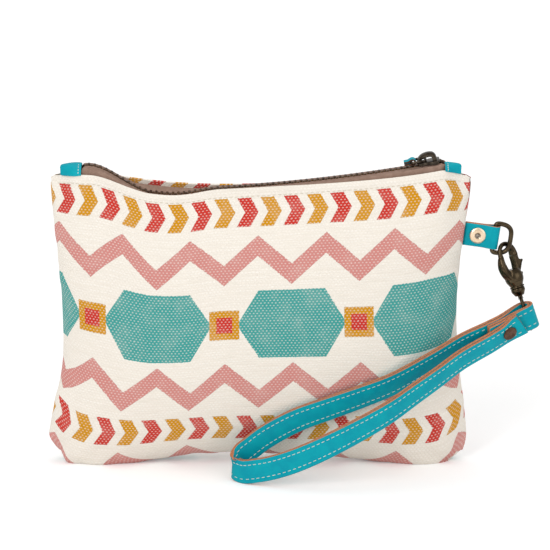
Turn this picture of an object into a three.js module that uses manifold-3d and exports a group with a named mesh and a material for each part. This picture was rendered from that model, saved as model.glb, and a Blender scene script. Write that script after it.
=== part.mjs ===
// Zip-top canvas wristlet pouch: a stuffed canvas pouch with a metal zip, leather end tabs,
// and a leather wrist loop that hangs from a side ring on a swivel trigger clasp.
// Millimetres, +Z up, +X to the right, +Y away from the viewer.
// Working frame: the seam plane is y = 0, the pouch is centred on x = 0 and stands on z = 0.
import * as THREE from 'three';
import { mergeVertices } from 'three/addons/utils/BufferGeometryUtils.js';
import Module from 'manifold-3d';

const wasm = await Module();
wasm.setup();

// Clearance between pieces that are sewn, clamped or pinned together
const GAP = 0.3;

// Pouch
const BASE_HALF_WIDTH = 115.2;
const BASE_SHIFT = -1.4;
const TOP_HALF_WIDTH = 112.4;
const SIDE_DRAW = 6.6;
const CORNER_HEIGHT = 163.4;
const BELLY_DEPTH = 26;
const BELLY_LEVEL = 0.42;
const BASE_DRAW = 4.5;
const FOOT_PRESS = 7;
const FOOT_PLACE = 0.82;
const FOOT_SPREAD = 0.26;
const CORNER_LIFT = 3;
const CORNER_CUT = 2.5;
const CORNER_BAND = 0.08;
const CANVAS = 1.2;
const LINING = 0.4;

// Zip
const ZIP_EDGE_DEPTH = 8;
const ZIP_LOW_X = -75;
const ZIP_LOW_DROP = 10.9;
const ZIP_ARC_RADIUS = 930;
const ZIP_DIP = 2.2;
const ZIP_DIP_X = -20;
const ZIP_DIP_RUN = 50;
const ZIP_HUMP = 16.8;
const ZIP_HUMP_X = -58;
const ZIP_HUMP_RUN = 34;
const ZIP_END_INSET = 9.4;
const ZIP_END_DROP = 3;
const ZIP_END_RUN = 8;
const ZIP_DROP_LEFT_INSET = 18.4;
const ZIP_DROP_RIGHT_INSET = 13.9;
const TEETH_LEFT_INSET = 17.9;
const TEETH_RIGHT_INSET = 13.9;
const CORNER_RUN = 16;
const FRONT_LIP_LEFT = -3.5;
const FRONT_LIP_DIP = 1.9;
const FRONT_LIP_RIGHT = -2.4;
const BACK_LOW_X = -20;
const BACK_LOW_DROP = 8.6;
const BACK_RISE = 10.5;
const TAPE = 0.6;
const TAPE_TUCK = 8;
const TOOTH_PITCH = 3.8;
const TOOTH_HEIGHT = 2.4;
const TOOTH_REACH = 0.7;
const TOOTH_TIP = 1;
const TOOTH_ROOT = 1.7;
const BEAD_NEAR = 1.5;
const BEAD_FAR = 2.4;
const TOOTH_SPREAD = 1.5;

// Zip slider and pull
const SLIDER_INSET = 21.4;
const SLIDER_LENGTH = 12;
const SLIDER_PLATE = 0.95;
const SLIDER_WALL = 0.8;
const SLIDER_SLOT = 1.5;
const DIVIDER_WIDTH = 0.8;
const DIVIDER_LENGTH = 2.4;
const BRIDGE_WIDTH = 3;
const BRIDGE_HEIGHT = 5;
const BRIDGE_LENGTH = 10;
const BRIDGE_BAR = 1.6;
const BAIL_WIRE = 1.4;
const BAIL_LENGTH = 7.7;
const PULL_TILT = 4;
const PULL_WIDTH = 5;
const PULL_LENGTH = 4.6;
const PULL_LEATHER = 1.2;

// Leather zip-end tabs
const END_TAB_LEATHER = 1.2;
const LEFT_TAB_INSET = 4.4;
const LEFT_TAB_LENGTH = 12;
const RIGHT_TAB_INSET = 2.9;
const RIGHT_TAB_LENGTH = 9.5;

// Side tab, rivet and D-ring
const SIDE_TAB_DROP = 34;
const SIDE_TAB_TILT = 8;
const SIDE_TAB_HEIGHT = 12.8;
const SIDE_TAB_LENGTH = 16.4;
const SIDE_TAB_LEATHER = 1.1;
const RING_WIRE = 2.6;
const RING_HALF_BAR = 8.6;
const RING_BOW = 9;
const RING_SQUARENESS = 3.2;
const RING_SEAT_ANGLE = -45;
const RIVET_CAP = 8.8;
const RIVET_CAP_RISE = 1.2;
const RIVET_SHANK = 2;
const RIVET_BACK = 6.8;
const RIVET_BACK_RISE = 0.9;
const SIDE_RIVET_X = 7.4;

// Trigger clasp and swivel eye
const CLASP_LEAN = 18.5;
const CLASP_REACH = 11;
const CLASP_TURN = 48;
const HOOK_BAR = 2.4;
const HOOK_HALF_WIDTH = 5;
const HOOK_TIP_DROP = 2;
const BARREL_TOP = -11.5;
const BARREL_BOTTOM = -20;
const BARREL_RADIUS = 5.2;
const COLLAR_RADIUS = 4;
const COLLAR_HEIGHT = 3.6;
const TRIGGER_PIN = 1.6;
const TRIGGER_PIN_X = 3.2;
const TRIGGER_PIN_Z = -14;
const TRIGGER_DEPTH = 3;
const TRIGGER_BAR = 2.8;
const THUMB_REACH = 9.4;
const SPRING_WIRE = 0.4;
const SPRING_RADIUS = 1.4;
const SPRING_TURNS = 2.5;
const EYE_WIRE = 2.4;
const EYE_HALF_WIDTH = 4.2;
const EYE_CORNER = 2.6;
const EYE_STEM = 2.6;
const EYE_NECK = 2;
const EYE_HEAD = 4;
const EYE_HEAD_HEIGHT = 1.2;

// Wrist strap
const STRAP_WIDTH = 13;
const STRAP_LEATHER = 1.1;
const STRAP_TAIL = 24;
const STRAP_FALL = 0.47;
const STRAP_FORWARD = 0.17;
const STRAP_SLACK = 1.2;
const STRAP_NEAR_DROP = 3;
const STRAP_RIVET_RUN = 10;
const STRAP_RIVET_CAP = 8;
// Runs of the loop from the clasp: distance left of the fold, distance in front of the seam
// plane, and height as a share of the fold's height
const NEAR_RUN = [
  [33, 26.2, 0.742],
  [46, 31.2, 0.656],
  [57.5, 36, 0.572],
  [75, 41.8, 0.438],
  [100, 46, 0.292],
  [121, 46, 0.188],
  [134, 44, 0.132],
  [145, 41.5, 0.096],
  [153, 38, 0.076],
];
const LOOP_TIP = [157.2, 33.5, 0.09];
const FAR_RUN = [
  [154.4, 29.5, 0.135],
  [148.5, 28.3, 0.193],
  [140.5, 27.4, 0.261],
  [124.5, 27, 0.358],
  [107, 26.7, 0.426],
  [88, 26.4, 0.496],
  [72, 25.2, 0.559],
  [52, 21.4, 0.676],
  [34, 17.2, 0.775],
];

const CANVAS_MATERIAL = { color: 0xf1ebdf, roughness: 0.9, metalness: 0 };
const LINING_MATERIAL = { color: 0xd9cfc0, roughness: 0.9, metalness: 0 };
const TAPE_MATERIAL = { color: 0x967d70, roughness: 0.85, metalness: 0 };
const LEATHER_MATERIAL = { color: 0x08aabf, roughness: 0.45, metalness: 0 };
const BRONZE_MATERIAL = { color: 0x463e30, roughness: 0.4, metalness: 0.9 };
const BRASS_MATERIAL = { color: 0xf5dfb8, roughness: 0.35, metalness: 0.6 };

const degrees = THREE.MathUtils.degToRad;
const clamp = THREE.MathUtils.clamp;
const lerp = THREE.MathUtils.lerp;
const vec = (x, y, z) => new THREE.Vector3(x, y, z);

// Places along the zip, measured in from the ends of the top edge, and heights under its corners
const ZIP_END_X = TOP_HALF_WIDTH - ZIP_END_INSET;
const ZIP_DROP_LEFT_X = ZIP_DROP_LEFT_INSET - TOP_HALF_WIDTH;
const ZIP_DROP_RIGHT_X = TOP_HALF_WIDTH - ZIP_DROP_RIGHT_INSET;
const TEETH_LEFT_X = TEETH_LEFT_INSET - TOP_HALF_WIDTH;
const TEETH_RIGHT_X = TOP_HALF_WIDTH - TEETH_RIGHT_INSET;
const SLIDER_X = TOP_HALF_WIDTH - SLIDER_INSET;
const LEFT_TAB_START = LEFT_TAB_INSET - TOP_HALF_WIDTH;
const LEFT_TAB_X = [LEFT_TAB_START, LEFT_TAB_START + LEFT_TAB_LENGTH];
const RIGHT_TAB_END = TOP_HALF_WIDTH - RIGHT_TAB_INSET;
const RIGHT_TAB_X = [RIGHT_TAB_END - RIGHT_TAB_LENGTH, RIGHT_TAB_END];
const ZIP_LOW_Z = CORNER_HEIGHT - ZIP_LOW_DROP;
const BACK_LOW_Z = CORNER_HEIGHT - BACK_LOW_DROP;
const SIDE_TAB_Z = CORNER_HEIGHT - SIDE_TAB_DROP;

// Eases from 0 to 1 with level ends
function ease(t) {
  const s = clamp(t, 0, 1);
  return s * s * (3 - 2 * s);
}

// Mesh helpers

function meshFrom(points, triangles) {
  const geometry = new THREE.BufferGeometry();
  const flat = points.flatMap((p) => [p.x, p.y, p.z]);
  geometry.setAttribute('position', new THREE.Float32BufferAttribute(flat, 3));
  let volume = 0;
  for (const [i, j, k] of triangles) {
    volume += points[i].dot(vec(0, 0, 0).crossVectors(points[j], points[k]));
  }
  const facing = volume < 0 ? triangles.map(([i, j, k]) => [i, k, j]) : triangles;
  geometry.setIndex(facing.flat());
  geometry.computeVertexNormals();
  return geometry;
}

// A sheet with thickness: two grids of points, face to face, closed round their rim
function sheet(columns, rows, outer, inner) {
  const points = [];
  const at = (layer, i, j) => layer * (columns + 1) * (rows + 1) + i * (rows + 1) + j;
  for (const face of [outer, inner]) {
    for (let i = 0; i <= columns; i += 1) {
      for (let j = 0; j <= rows; j += 1) points.push(face(i, j));
    }
  }
  const triangles = [];
  const quad = (a, b, c, d) => triangles.push([a, b, c], [a, c, d]);
  for (let i = 0; i < columns; i += 1) {
    for (let j = 0; j < rows; j += 1) {
      quad(at(0, i, j), at(0, i + 1, j), at(0, i + 1, j + 1), at(0, i, j + 1));
      quad(at(1, i, j + 1), at(1, i + 1, j + 1), at(1, i + 1, j), at(1, i, j));
    }
  }
  for (let i = 0; i < columns; i += 1) {
    quad(at(1, i, 0), at(1, i + 1, 0), at(0, i + 1, 0), at(0, i, 0));
    quad(at(0, i, rows), at(0, i + 1, rows), at(1, i + 1, rows), at(1, i, rows));
  }
  for (let j = 0; j < rows; j += 1) {
    quad(at(0, 0, j), at(0, 0, j + 1), at(1, 0, j + 1), at(1, 0, j));
    quad(at(1, columns, j), at(1, columns, j + 1), at(0, columns, j + 1), at(0, columns, j));
  }
  return meshFrom(points, triangles);
}

// A round bar carried along a line of points, closed on itself or capped at its ends
function bar(line, radius, sides, closed, normal) {
  const count = line.length;
  const points = [];
  for (let i = 0; i < count; i += 1) {
    const before = closed ? line[(i + count - 1) % count] : line[Math.max(i - 1, 0)];
    const after = closed ? line[(i + 1) % count] : line[Math.min(i + 1, count - 1)];
    const tangent = after.clone().sub(before).normalize();
    const side = vec(0, 0, 0).crossVectors(tangent, normal).normalize();
    const up = vec(0, 0, 0).crossVectors(side, tangent);
    for (let k = 0; k < sides; k += 1) {
      const turn = (2 * Math.PI * k) / sides;
      const point = line[i].clone().addScaledVector(side, radius * Math.cos(turn));
      points.push(point.addScaledVector(up, radius * Math.sin(turn)));
    }
  }
  const triangles = [];
  for (let i = 0; i < (closed ? count : count - 1); i += 1) {
    const here = i * sides;
    const next = ((i + 1) % count) * sides;
    for (let k = 0; k < sides; k += 1) {
      const m = (k + 1) % sides;
      triangles.push([here + k, next + k, next + m], [here + k, next + m, here + m]);
    }
  }
  for (let k = 1; !closed && k < sides - 1; k += 1) {
    const last = (count - 1) * sides;
    triangles.push([0, k, k + 1], [last, last + k + 1, last + k]);
  }
  return meshFrom(points, triangles);
}

function toSolid(geometry) {
  const bare = new THREE.BufferGeometry();
  bare.setAttribute('position', geometry.getAttribute('position'));
  bare.setIndex(geometry.getIndex());
  const merged = mergeVertices(bare, 1e-4);
  const vertProperties = new Float32Array(merged.getAttribute('position').array);
  const triVerts = new Uint32Array(merged.getIndex().array);
  return new wasm.Manifold(new wasm.Mesh({ numProp: 3, vertProperties, triVerts }));
}

function toGeometry(solid) {
  const mesh = solid.getMesh();
  const geometry = new THREE.BufferGeometry();
  geometry.setAttribute('position', new THREE.Float32BufferAttribute(mesh.vertProperties, 3));
  geometry.setIndex(Array.from(mesh.triVerts));
  geometry.computeVertexNormals();
  return geometry;
}

function join(first, ...others) {
  return toGeometry(others.reduce((sum, piece) => sum.add(toSolid(piece)), toSolid(first)));
}

function cut(body, ...tools) {
  return toGeometry(tools.reduce((left, tool) => left.subtract(toSolid(tool)), toSolid(body)));
}

function piece(name, geometry, look) {
  const mesh = new THREE.Mesh(geometry, new THREE.MeshStandardMaterial(look));
  mesh.name = name;
  return mesh;
}

// A flat outline in x and z, given thickness along y, centred on y = 0
function slab(outline, depth) {
  const options = { depth, bevelEnabled: false, curveSegments: 8 };
  const geometry = new THREE.ExtrudeGeometry(new THREE.Shape(outline), options);
  return geometry.translate(0, 0, -depth / 2).rotateX(Math.PI / 2);
}

// A round rod along y, centred on y = 0
function rodAlongY(radius, length, x, z) {
  return new THREE.CylinderGeometry(radius, radius, length, 16).translate(x, 0, z);
}

// Pouch outline and depth

function halfWidth(b) {
  const seam = lerp(BASE_HALF_WIDTH, TOP_HALF_WIDTH, b) - SIDE_DRAW * Math.sin(Math.PI * b) ** 1.6;
  return seam - CORNER_CUT * (1 - clamp(b / CORNER_BAND, 0, 1)) ** 2;
}

// Height of the bottom seam: drawn up in the middle, pressed flat at the feet, lifted at corners
function baseHeight(a) {
  const foot = Math.exp(-(((Math.abs(a) - FOOT_PLACE) / FOOT_SPREAD) ** 2));
  const corner = ease((Math.abs(a) - FOOT_PLACE) / (1 - FOOT_PLACE));
  const middle = BASE_DRAW * (1 - clamp(Math.abs(a) / FOOT_PLACE, 0, 1) ** 2);
  return middle - FOOT_PRESS * foot + (CORNER_LIFT + FOOT_PRESS) * corner ** 2;
}

function chainHeight(x) {
  const run = x - ZIP_LOW_X;
  const arc = ZIP_LOW_Z + ZIP_ARC_RADIUS - Math.sqrt(ZIP_ARC_RADIUS ** 2 - run ** 2);
  const dip = Math.sin(Math.PI * clamp((ZIP_DIP_X - x) / ZIP_DIP_RUN, 0, 1)) ** 2;
  const end = ease(Math.max(ZIP_DROP_LEFT_X - x, x - ZIP_DROP_RIGHT_X) / ZIP_END_RUN);
  return arc - ZIP_DIP * dip + ZIP_HUMP * ease((ZIP_HUMP_X - x) / ZIP_HUMP_RUN) - ZIP_END_DROP * end;
}

// Height of the canvas edge beside the zip, on the front (side -1) or the back (side 1)
function edgeHeight(side, x) {
  const front = x < ZIP_HUMP_X
    ? lerp(FRONT_LIP_DIP, FRONT_LIP_LEFT, ease((ZIP_HUMP_X - x) / ZIP_HUMP_RUN))
    : lerp(FRONT_LIP_DIP, FRONT_LIP_RIGHT, ease((x - ZIP_HUMP_X) / (ZIP_END_X - ZIP_HUMP_X)));
  const span = x < BACK_LOW_X ? BACK_LOW_X + ZIP_END_X : ZIP_END_X - BACK_LOW_X;
  const back = BACK_LOW_Z + BACK_RISE * ((x - BACK_LOW_X) / span) ** 2;
  const edge = side < 0 ? chainHeight(x) + front : back;
  const corner = ease((Math.abs(x) - TOP_HALF_WIDTH + CORNER_RUN) / CORNER_RUN);
  return lerp(edge, CORNER_HEIGHT, corner);
}

// Half depth of the stuffed pouch at a share across (a, -1 to 1) and up (b, 0 to 1)
function depthAt(a, b) {
  const square = 2.6 + 1.6 * (1 - b) ** 4 + 13 * b ** 6;
  const across = Math.sqrt(Math.max(0, 1 - Math.abs(a) ** square));
  const below = Math.sqrt(Math.max(0, 1 - ((BELLY_LEVEL - b) / BELLY_LEVEL) ** 2));
  const above = 1 - (1 - ZIP_EDGE_DEPTH / BELLY_DEPTH) * ((b - BELLY_LEVEL) / (1 - BELLY_LEVEL)) ** 1.8;
  return BELLY_DEPTH * across * (b < BELLY_LEVEL ? below : above);
}

// A point of the pouch wall on one side, set in from the outer face
function wallPoint(side, inset, a, b) {
  const x = (halfWidth(b) - inset) * a + BASE_SHIFT * (1 - b) ** 2;
  const base = baseHeight(a);
  const top = edgeHeight(side, TOP_HALF_WIDTH * a);
  const z = Math.max(lerp(base, top, b) + inset * (1 - clamp(b / BELLY_LEVEL, 0, 1)), inset);
  const depth = depthAt(a, b);
  const inner = depth - inset * (1 - Math.exp(-depth / Math.max(inset, 1e-6)));
  return vec(x, side * (GAP / 2 + inner), z);
}

// Share of the wall's height at which it stands level with the zip chain, at most 1
function chainShare(side, a) {
  const x = TOP_HALF_WIDTH * a;
  const base = baseHeight(a);
  return Math.min(1, (chainHeight(x) - base) / (edgeHeight(side, x) - base));
}

// Half depth of the pouch's outer face at a place in front of it
function bellyAt(x, z) {
  let b = clamp(z / CORNER_HEIGHT, 0, 1);
  let a = 0;
  for (let pass = 0; pass < 4; pass += 1) {
    a = clamp((x - BASE_SHIFT * (1 - b) ** 2) / halfWidth(b), -1, 1);
    const base = baseHeight(a);
    b = clamp((z - base) / (edgeHeight(-1, TOP_HALF_WIDTH * a) - base), 0, 1);
  }
  return depthAt(a, b);
}

const acrossShare = (i, columns) => Math.sin(Math.PI * (i / columns - 0.5));

function wall(side, inset, thickness, columns, rows, topShare) {
  const across = (i) => acrossShare(i, columns);
  const upward = (a, j) => topShare(a) * (1 - Math.cos((Math.PI / 2) * (j / rows)));
  const face = (depth) => (i, j) => wallPoint(side, depth, across(i), upward(across(i), j));
  return sheet(columns, rows, face(inset), face(inset + thickness));
}

const WALL_COLUMNS = 34;
const TAPE_INSET = CANVAS + 2 * GAP;
const LINING_INSET = TAPE_INSET + TAPE;

function makePanel(name, side) {
  return piece(name, wall(side, 0, CANVAS, WALL_COLUMNS, 12, () => 1), CANVAS_MATERIAL);
}

function makeLining(name, side) {
  const below = (TAPE_TUCK + 8 * GAP) / CORNER_HEIGHT;
  const top = (a) => chainShare(side, a) - below;
  return piece(name, wall(side, LINING_INSET, LINING, 17, 8, top), LINING_MATERIAL);
}

// Zip

// How far the two rows of teeth stand apart: closed to the left of the slider, open to its right
function spreadAt(x) {
  const start = SLIDER_X - SLIDER_LENGTH / 4;
  return TOOTH_SPREAD * ease((x - start) / (SLIDER_LENGTH / 2));
}

function makeTape(name, side) {
  const end = (ZIP_END_X + GAP) / TOP_HALF_WIDTH;
  const shares = [-end];
  for (let i = 0; i <= WALL_COLUMNS; i += 1) {
    const a = acrossShare(i, WALL_COLUMNS);
    if (Math.abs(a) < end) shares.push(a);
  }
  shares.push(end);
  const tuck = TAPE_TUCK / CORNER_HEIGHT;
  const face = (sunk) => (i, j) => {
    const a = shares[i];
    const share = chainShare(side, a);
    const bend = wallPoint(side, TAPE_INSET + sunk, a, share);
    const level = chainHeight(bend.x) + TAPE / 2 - sunk;
    if (j === 0) return vec(bend.x, side * (BEAD_FAR + 2 * GAP + spreadAt(bend.x)), level);
    if (j === 1) return vec(bend.x, bend.y, level);
    const low = wallPoint(side, TAPE_INSET + sunk, a, share - (j === 2 ? tuck / 6 : tuck));
    return vec(low.x, low.y, low.z - sunk);
  };
  return piece(name, sheet(shares.length - 1, 3, face(0), face(TAPE)), TAPE_MATERIAL);
}

// A point beside the chain: run along x, side step and height square to the chain
function chainPoint(x, y, height) {
  const slope = (chainHeight(x + 0.1) - chainHeight(x - 0.1)) / 0.2;
  const lean = Math.atan(slope);
  return vec(x - height * Math.sin(lean), y, chainHeight(x) + height * Math.cos(lean));
}

// One row of teeth on its woven bead: the bead runs the whole zip and each tooth tapers inward
function makeTeeth(name, side) {
  const count = Math.floor((TEETH_RIGHT_X - TEETH_LEFT_X) / TOOTH_PITCH) - 1;
  const first = TEETH_LEFT_X + (0.75 + side / 4) * TOOTH_PITCH;
  const points = [];
  const triangles = [];
  const quad = (a, b, c, d) => triangles.push([a, b, c], [a, c, d]);
  const pair = (x, y) => {
    for (const height of [TOOTH_HEIGHT / 2, -TOOTH_HEIGHT / 2]) {
      points.push(chainPoint(x, side * (y + spreadAt(x)), height));
    }
    return points.length - 2;
  };
  const block = (a, b, c, d) => {
    quad(a, b, c, d);
    quad(d + 1, c + 1, b + 1, a + 1);
  };
  const edge = (a, b) => quad(b, b + 1, a + 1, a);
  let far = pair(first - TOOTH_PITCH / 2, BEAD_FAR);
  let near = pair(first - TOOTH_PITCH / 2, BEAD_NEAR);
  edge(near, far);
  for (let i = 0; i < count; i += 1) {
    const x = first + i * TOOTH_PITCH;
    const rootFar = [pair(x - TOOTH_ROOT / 2, BEAD_FAR), pair(x + TOOTH_ROOT / 2, BEAD_FAR)];
    const root = [pair(x - TOOTH_ROOT / 2, BEAD_NEAR), pair(x + TOOTH_ROOT / 2, BEAD_NEAR)];
    const tip = [pair(x - TOOTH_TIP / 2, -TOOTH_REACH), pair(x + TOOTH_TIP / 2, -TOOTH_REACH)];
    block(far, near, root[0], rootFar[0]);
    block(rootFar[0], root[0], root[1], rootFar[1]);
    block(root[0], tip[0], tip[1], root[1]);
    edge(far, rootFar[0]);
    edge(rootFar[0], rootFar[1]);
    edge(root[0], near);
    edge(tip[0], root[0]);
    edge(tip[1], tip[0]);
    edge(root[1], tip[1]);
    far = rootFar[1];
    near = root[1];
  }
  const lastFar = pair(first + (count - 0.5) * TOOTH_PITCH, BEAD_FAR);
  const lastNear = pair(first + (count - 0.5) * TOOTH_PITCH, BEAD_NEAR);
  block(far, near, lastNear, lastFar);
  edge(far, lastFar);
  edge(lastNear, near);
  edge(lastFar, lastNear);
  return piece(name, meshFrom(points, triangles), BRONZE_MATERIAL);
}

// A leather tab folded over the end of the zip, its two flaps standing on the canvas edges
function makeEndTab(name, span) {
  const columns = 6;
  const rise = TAPE / 2 + 3 * GAP;
  const face = (inset) => (i, j) => {
    const x = lerp(span[0], span[1], i / columns);
    const a = x / TOP_HALF_WIDTH;
    const side = j < 3 ? -1 : 1;
    const step = j < 3 ? j : 5 - j;
    const out = GAP / 2 + depthAt(a, 1) - inset;
    const crown = chainHeight(x) + rise + END_TAB_LEATHER - inset;
    if (step === 0) return vec(x, side * out, edgeHeight(side, x) + GAP);
    if (step === 1) return vec(x, side * out, crown - END_TAB_LEATHER);
    return vec(x, side * (out - END_TAB_LEATHER), crown);
  };
  return piece(name, sheet(columns, 5, face(0), face(END_TAB_LEATHER)), LEATHER_MATERIAL);
}

// Slider: two plates with turned edges, joined by a divider, under an arched bridge

function makeSlider() {
  const half = SLIDER_LENGTH / 2;
  const inside = (x) => BEAD_FAR + GAP + TOOTH_SPREAD * ease((x + half / 2) / half);
  const stations = [-half, -half / 2, 0, half / 2, half];
  const ridge = TOOTH_HEIGHT / 2 + GAP;
  const band = (low, high, fromSide, toSide) => sheet(4, 1,
    (i, j) => vec(stations[i], j ? toSide(stations[i]) : fromSide(stations[i]), high),
    (i, j) => vec(stations[i], j ? toSide(stations[i]) : fromSide(stations[i]), low));
  const wide = (x) => inside(x) + SLIDER_WALL;
  const parts = [];
  for (const face of [1, -1]) {
    const span = [face * ridge, face * (ridge + SLIDER_PLATE)].sort((p, q) => p - q);
    parts.push(band(span[0], span[1], (x) => -wide(x), wide));
    const lip = [face * (SLIDER_SLOT / 2), face * (ridge + SLIDER_PLATE / 2)].sort((p, q) => p - q);
    for (const side of [1, -1]) {
      parts.push(band(lip[0], lip[1], (x) => side * inside(x), (x) => side * wide(x)));
    }
  }
  const divider = new THREE.BoxGeometry(DIVIDER_LENGTH, DIVIDER_WIDTH, 2 * ridge + SLIDER_PLATE);
  parts.push(divider.translate(half - DIVIDER_LENGTH / 2, 0, 0));
  const foot = ridge + SLIDER_PLATE / 2;
  const crown = ridge + SLIDER_PLATE + BRIDGE_HEIGHT;
  const arch = new THREE.Shape();
  const reach = BRIDGE_LENGTH / 2;
  arch.moveTo(-reach, foot);
  arch.bezierCurveTo(-reach, crown - BRIDGE_BAR, -reach / 2, crown, 0, crown);
  arch.bezierCurveTo(reach / 2, crown, reach, crown - BRIDGE_BAR, reach, foot);
  arch.lineTo(reach - BRIDGE_BAR, foot);
  arch.bezierCurveTo(reach - BRIDGE_BAR, crown - 2 * BRIDGE_BAR, reach / 2, crown - BRIDGE_BAR, 0,
    crown - BRIDGE_BAR);
  arch.bezierCurveTo(-reach / 2, crown - BRIDGE_BAR, BRIDGE_BAR - reach, crown - 2 * BRIDGE_BAR,
    BRIDGE_BAR - reach, foot);
  parts.push(slab(arch.getPoints(6).slice(0, -1), BRIDGE_WIDTH));
  return piece('zip_slider', join(...parts), BRONZE_MATERIAL);
}

// The pull's bail turns on a bar under the bridge; a folded leather tab hangs on its far end
const BAIL_PIVOT_X = -1.5;
const BAIL_PIVOT_Z = TOOTH_HEIGHT / 2 + GAP + SLIDER_PLATE + BAIL_WIRE / 2 + GAP;

function makeBail() {
  const half = PULL_WIDTH / 2 + GAP + BAIL_WIRE / 2;
  const far = -BAIL_LENGTH;
  const corner = BAIL_WIRE / 2;
  const line = [];
  for (const [cx, cy, from] of [
    [-corner, half - corner, 0], [far + corner, half - corner, 90],
    [far + corner, corner - half, 180], [-corner, corner - half, 270],
  ]) {
    for (let k = 0; k <= 3; k += 1) {
      const turn = degrees(from + 30 * k);
      line.push(vec(cx + corner * Math.cos(turn), cy + corner * Math.sin(turn), 0));
    }
  }
  return piece('zip_pull_bail', bar(line, BAIL_WIRE / 2, 6, true, vec(0, 0, 1)), BRONZE_MATERIAL);
}

// Outline, seen from the edge, of a strip folded round a rod at the origin, both ends to the left
function foldOutline(rod, leather, length, pinch) {
  const inner = rod / 2 + GAP;
  const outer = inner + leather;
  const shape = new THREE.Shape();
  shape.moveTo(-length, -(GAP / 2 + leather));
  shape.lineTo(-pinch, -(GAP / 2 + leather));
  shape.lineTo(0, -outer);
  shape.absarc(0, 0, outer, -Math.PI / 2, Math.PI / 2, false);
  shape.lineTo(-pinch, GAP / 2 + leather);
  shape.lineTo(-length, GAP / 2 + leather);
  shape.lineTo(-length, GAP / 2);
  shape.lineTo(-pinch, GAP / 2);
  shape.lineTo(0, inner);
  shape.absarc(0, 0, inner, Math.PI / 2, -Math.PI / 2, true);
  shape.lineTo(-pinch, -GAP / 2);
  shape.lineTo(-length, -GAP / 2);
  return shape;
}

function makePullTab() {
  const shape = foldOutline(BAIL_WIRE, PULL_LEATHER, PULL_LENGTH, PULL_LENGTH * 0.6);
  const options = { depth: PULL_WIDTH, bevelEnabled: false, curveSegments: 8 };
  const geometry = new THREE.ExtrudeGeometry(shape, options).translate(0, 0, -PULL_WIDTH / 2);
  geometry.rotateX(Math.PI / 2).translate(BAIL_WIRE / 2 - BAIL_LENGTH, 0, 0);
  return piece('zip_pull_tab', geometry, LEATHER_MATERIAL);
}

// Rivets: a domed cap with a dimple in front, and a shank with a plain head behind

function makeRivetCap(name, diameter, look) {
  const r = diameter / 2;
  const profile = [
    [0, 0], [r, 0], [r, RIVET_CAP_RISE * 0.3], [r * 0.8, RIVET_CAP_RISE * 0.85],
    [r * 0.4, RIVET_CAP_RISE], [r * 0.3, RIVET_CAP_RISE * 0.75], [0, RIVET_CAP_RISE * 0.7],
  ].map(([x, y]) => new THREE.Vector2(x, y));
  return piece(name, new THREE.LatheGeometry(profile, 16), look);
}

function makeRivetShank(name, length, look) {
  const r = RIVET_BACK / 2;
  const profile = [
    [0, -RIVET_BACK_RISE], [r * 0.7, -RIVET_BACK_RISE], [r, -RIVET_BACK_RISE * 0.4], [r, 0],
    [RIVET_SHANK / 2, 0], [RIVET_SHANK / 2, length], [0, length],
  ].map(([x, y]) => new THREE.Vector2(x, y));
  return piece(name, new THREE.LatheGeometry(profile, 16), look);
}

// Side tab with its rivet, and the D-ring in its fold. Local x runs out from the side seam.

function makeSideTab() {
  const shape = foldOutline(RING_WIRE, SIDE_TAB_LEATHER, SIDE_TAB_LENGTH, SIDE_TAB_LENGTH * 0.42);
  const options = { depth: SIDE_TAB_HEIGHT, bevelEnabled: false, curveSegments: 10 };
  const strip = new THREE.ExtrudeGeometry(shape, options);
  strip.translate(SIDE_TAB_LENGTH, 0, -SIDE_TAB_HEIGHT / 2);
  const hole = rodAlongY(RIVET_SHANK / 2 + GAP, 6 * SIDE_TAB_LEATHER, SIDE_RIVET_X, 0);
  return piece('side_tab', cut(strip, hole), LEATHER_MATERIAL);
}

function ringPoint(turn) {
  const power = 2 / RING_SQUARENESS;
  const out = Math.abs(Math.cos(turn)) ** power;
  const up = Math.sign(turn) * Math.abs(Math.sin(turn)) ** power;
  return vec(RING_BOW * out, 0, RING_HALF_BAR * up);
}

function makeRing() {
  const line = [];
  for (let k = 0; k <= 16; k += 1) line.push(ringPoint(degrees(-80 + 10 * k)));
  const corner = RING_HALF_BAR - RING_WIRE / 2;
  for (let k = 0; k <= 5; k += 1) line.push(vec(0, 0, lerp(corner, -corner, k / 5)));
  return piece('d_ring', bar(line, RING_WIRE / 2, 8, true, vec(0, 1, 0)), BRONZE_MATERIAL);
}

// Trigger clasp. Local origin: middle of the ring's wire in the hook; the clasp hangs down -z.

const HOOK_TOP = RING_WIRE / 2 + 3 * GAP + HOOK_BAR / 2;
const HOOK_BEND_Z = HOOK_TOP - HOOK_HALF_WIDTH;
const HOOK_TIP_Z = HOOK_BEND_Z - HOOK_TIP_DROP;

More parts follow.
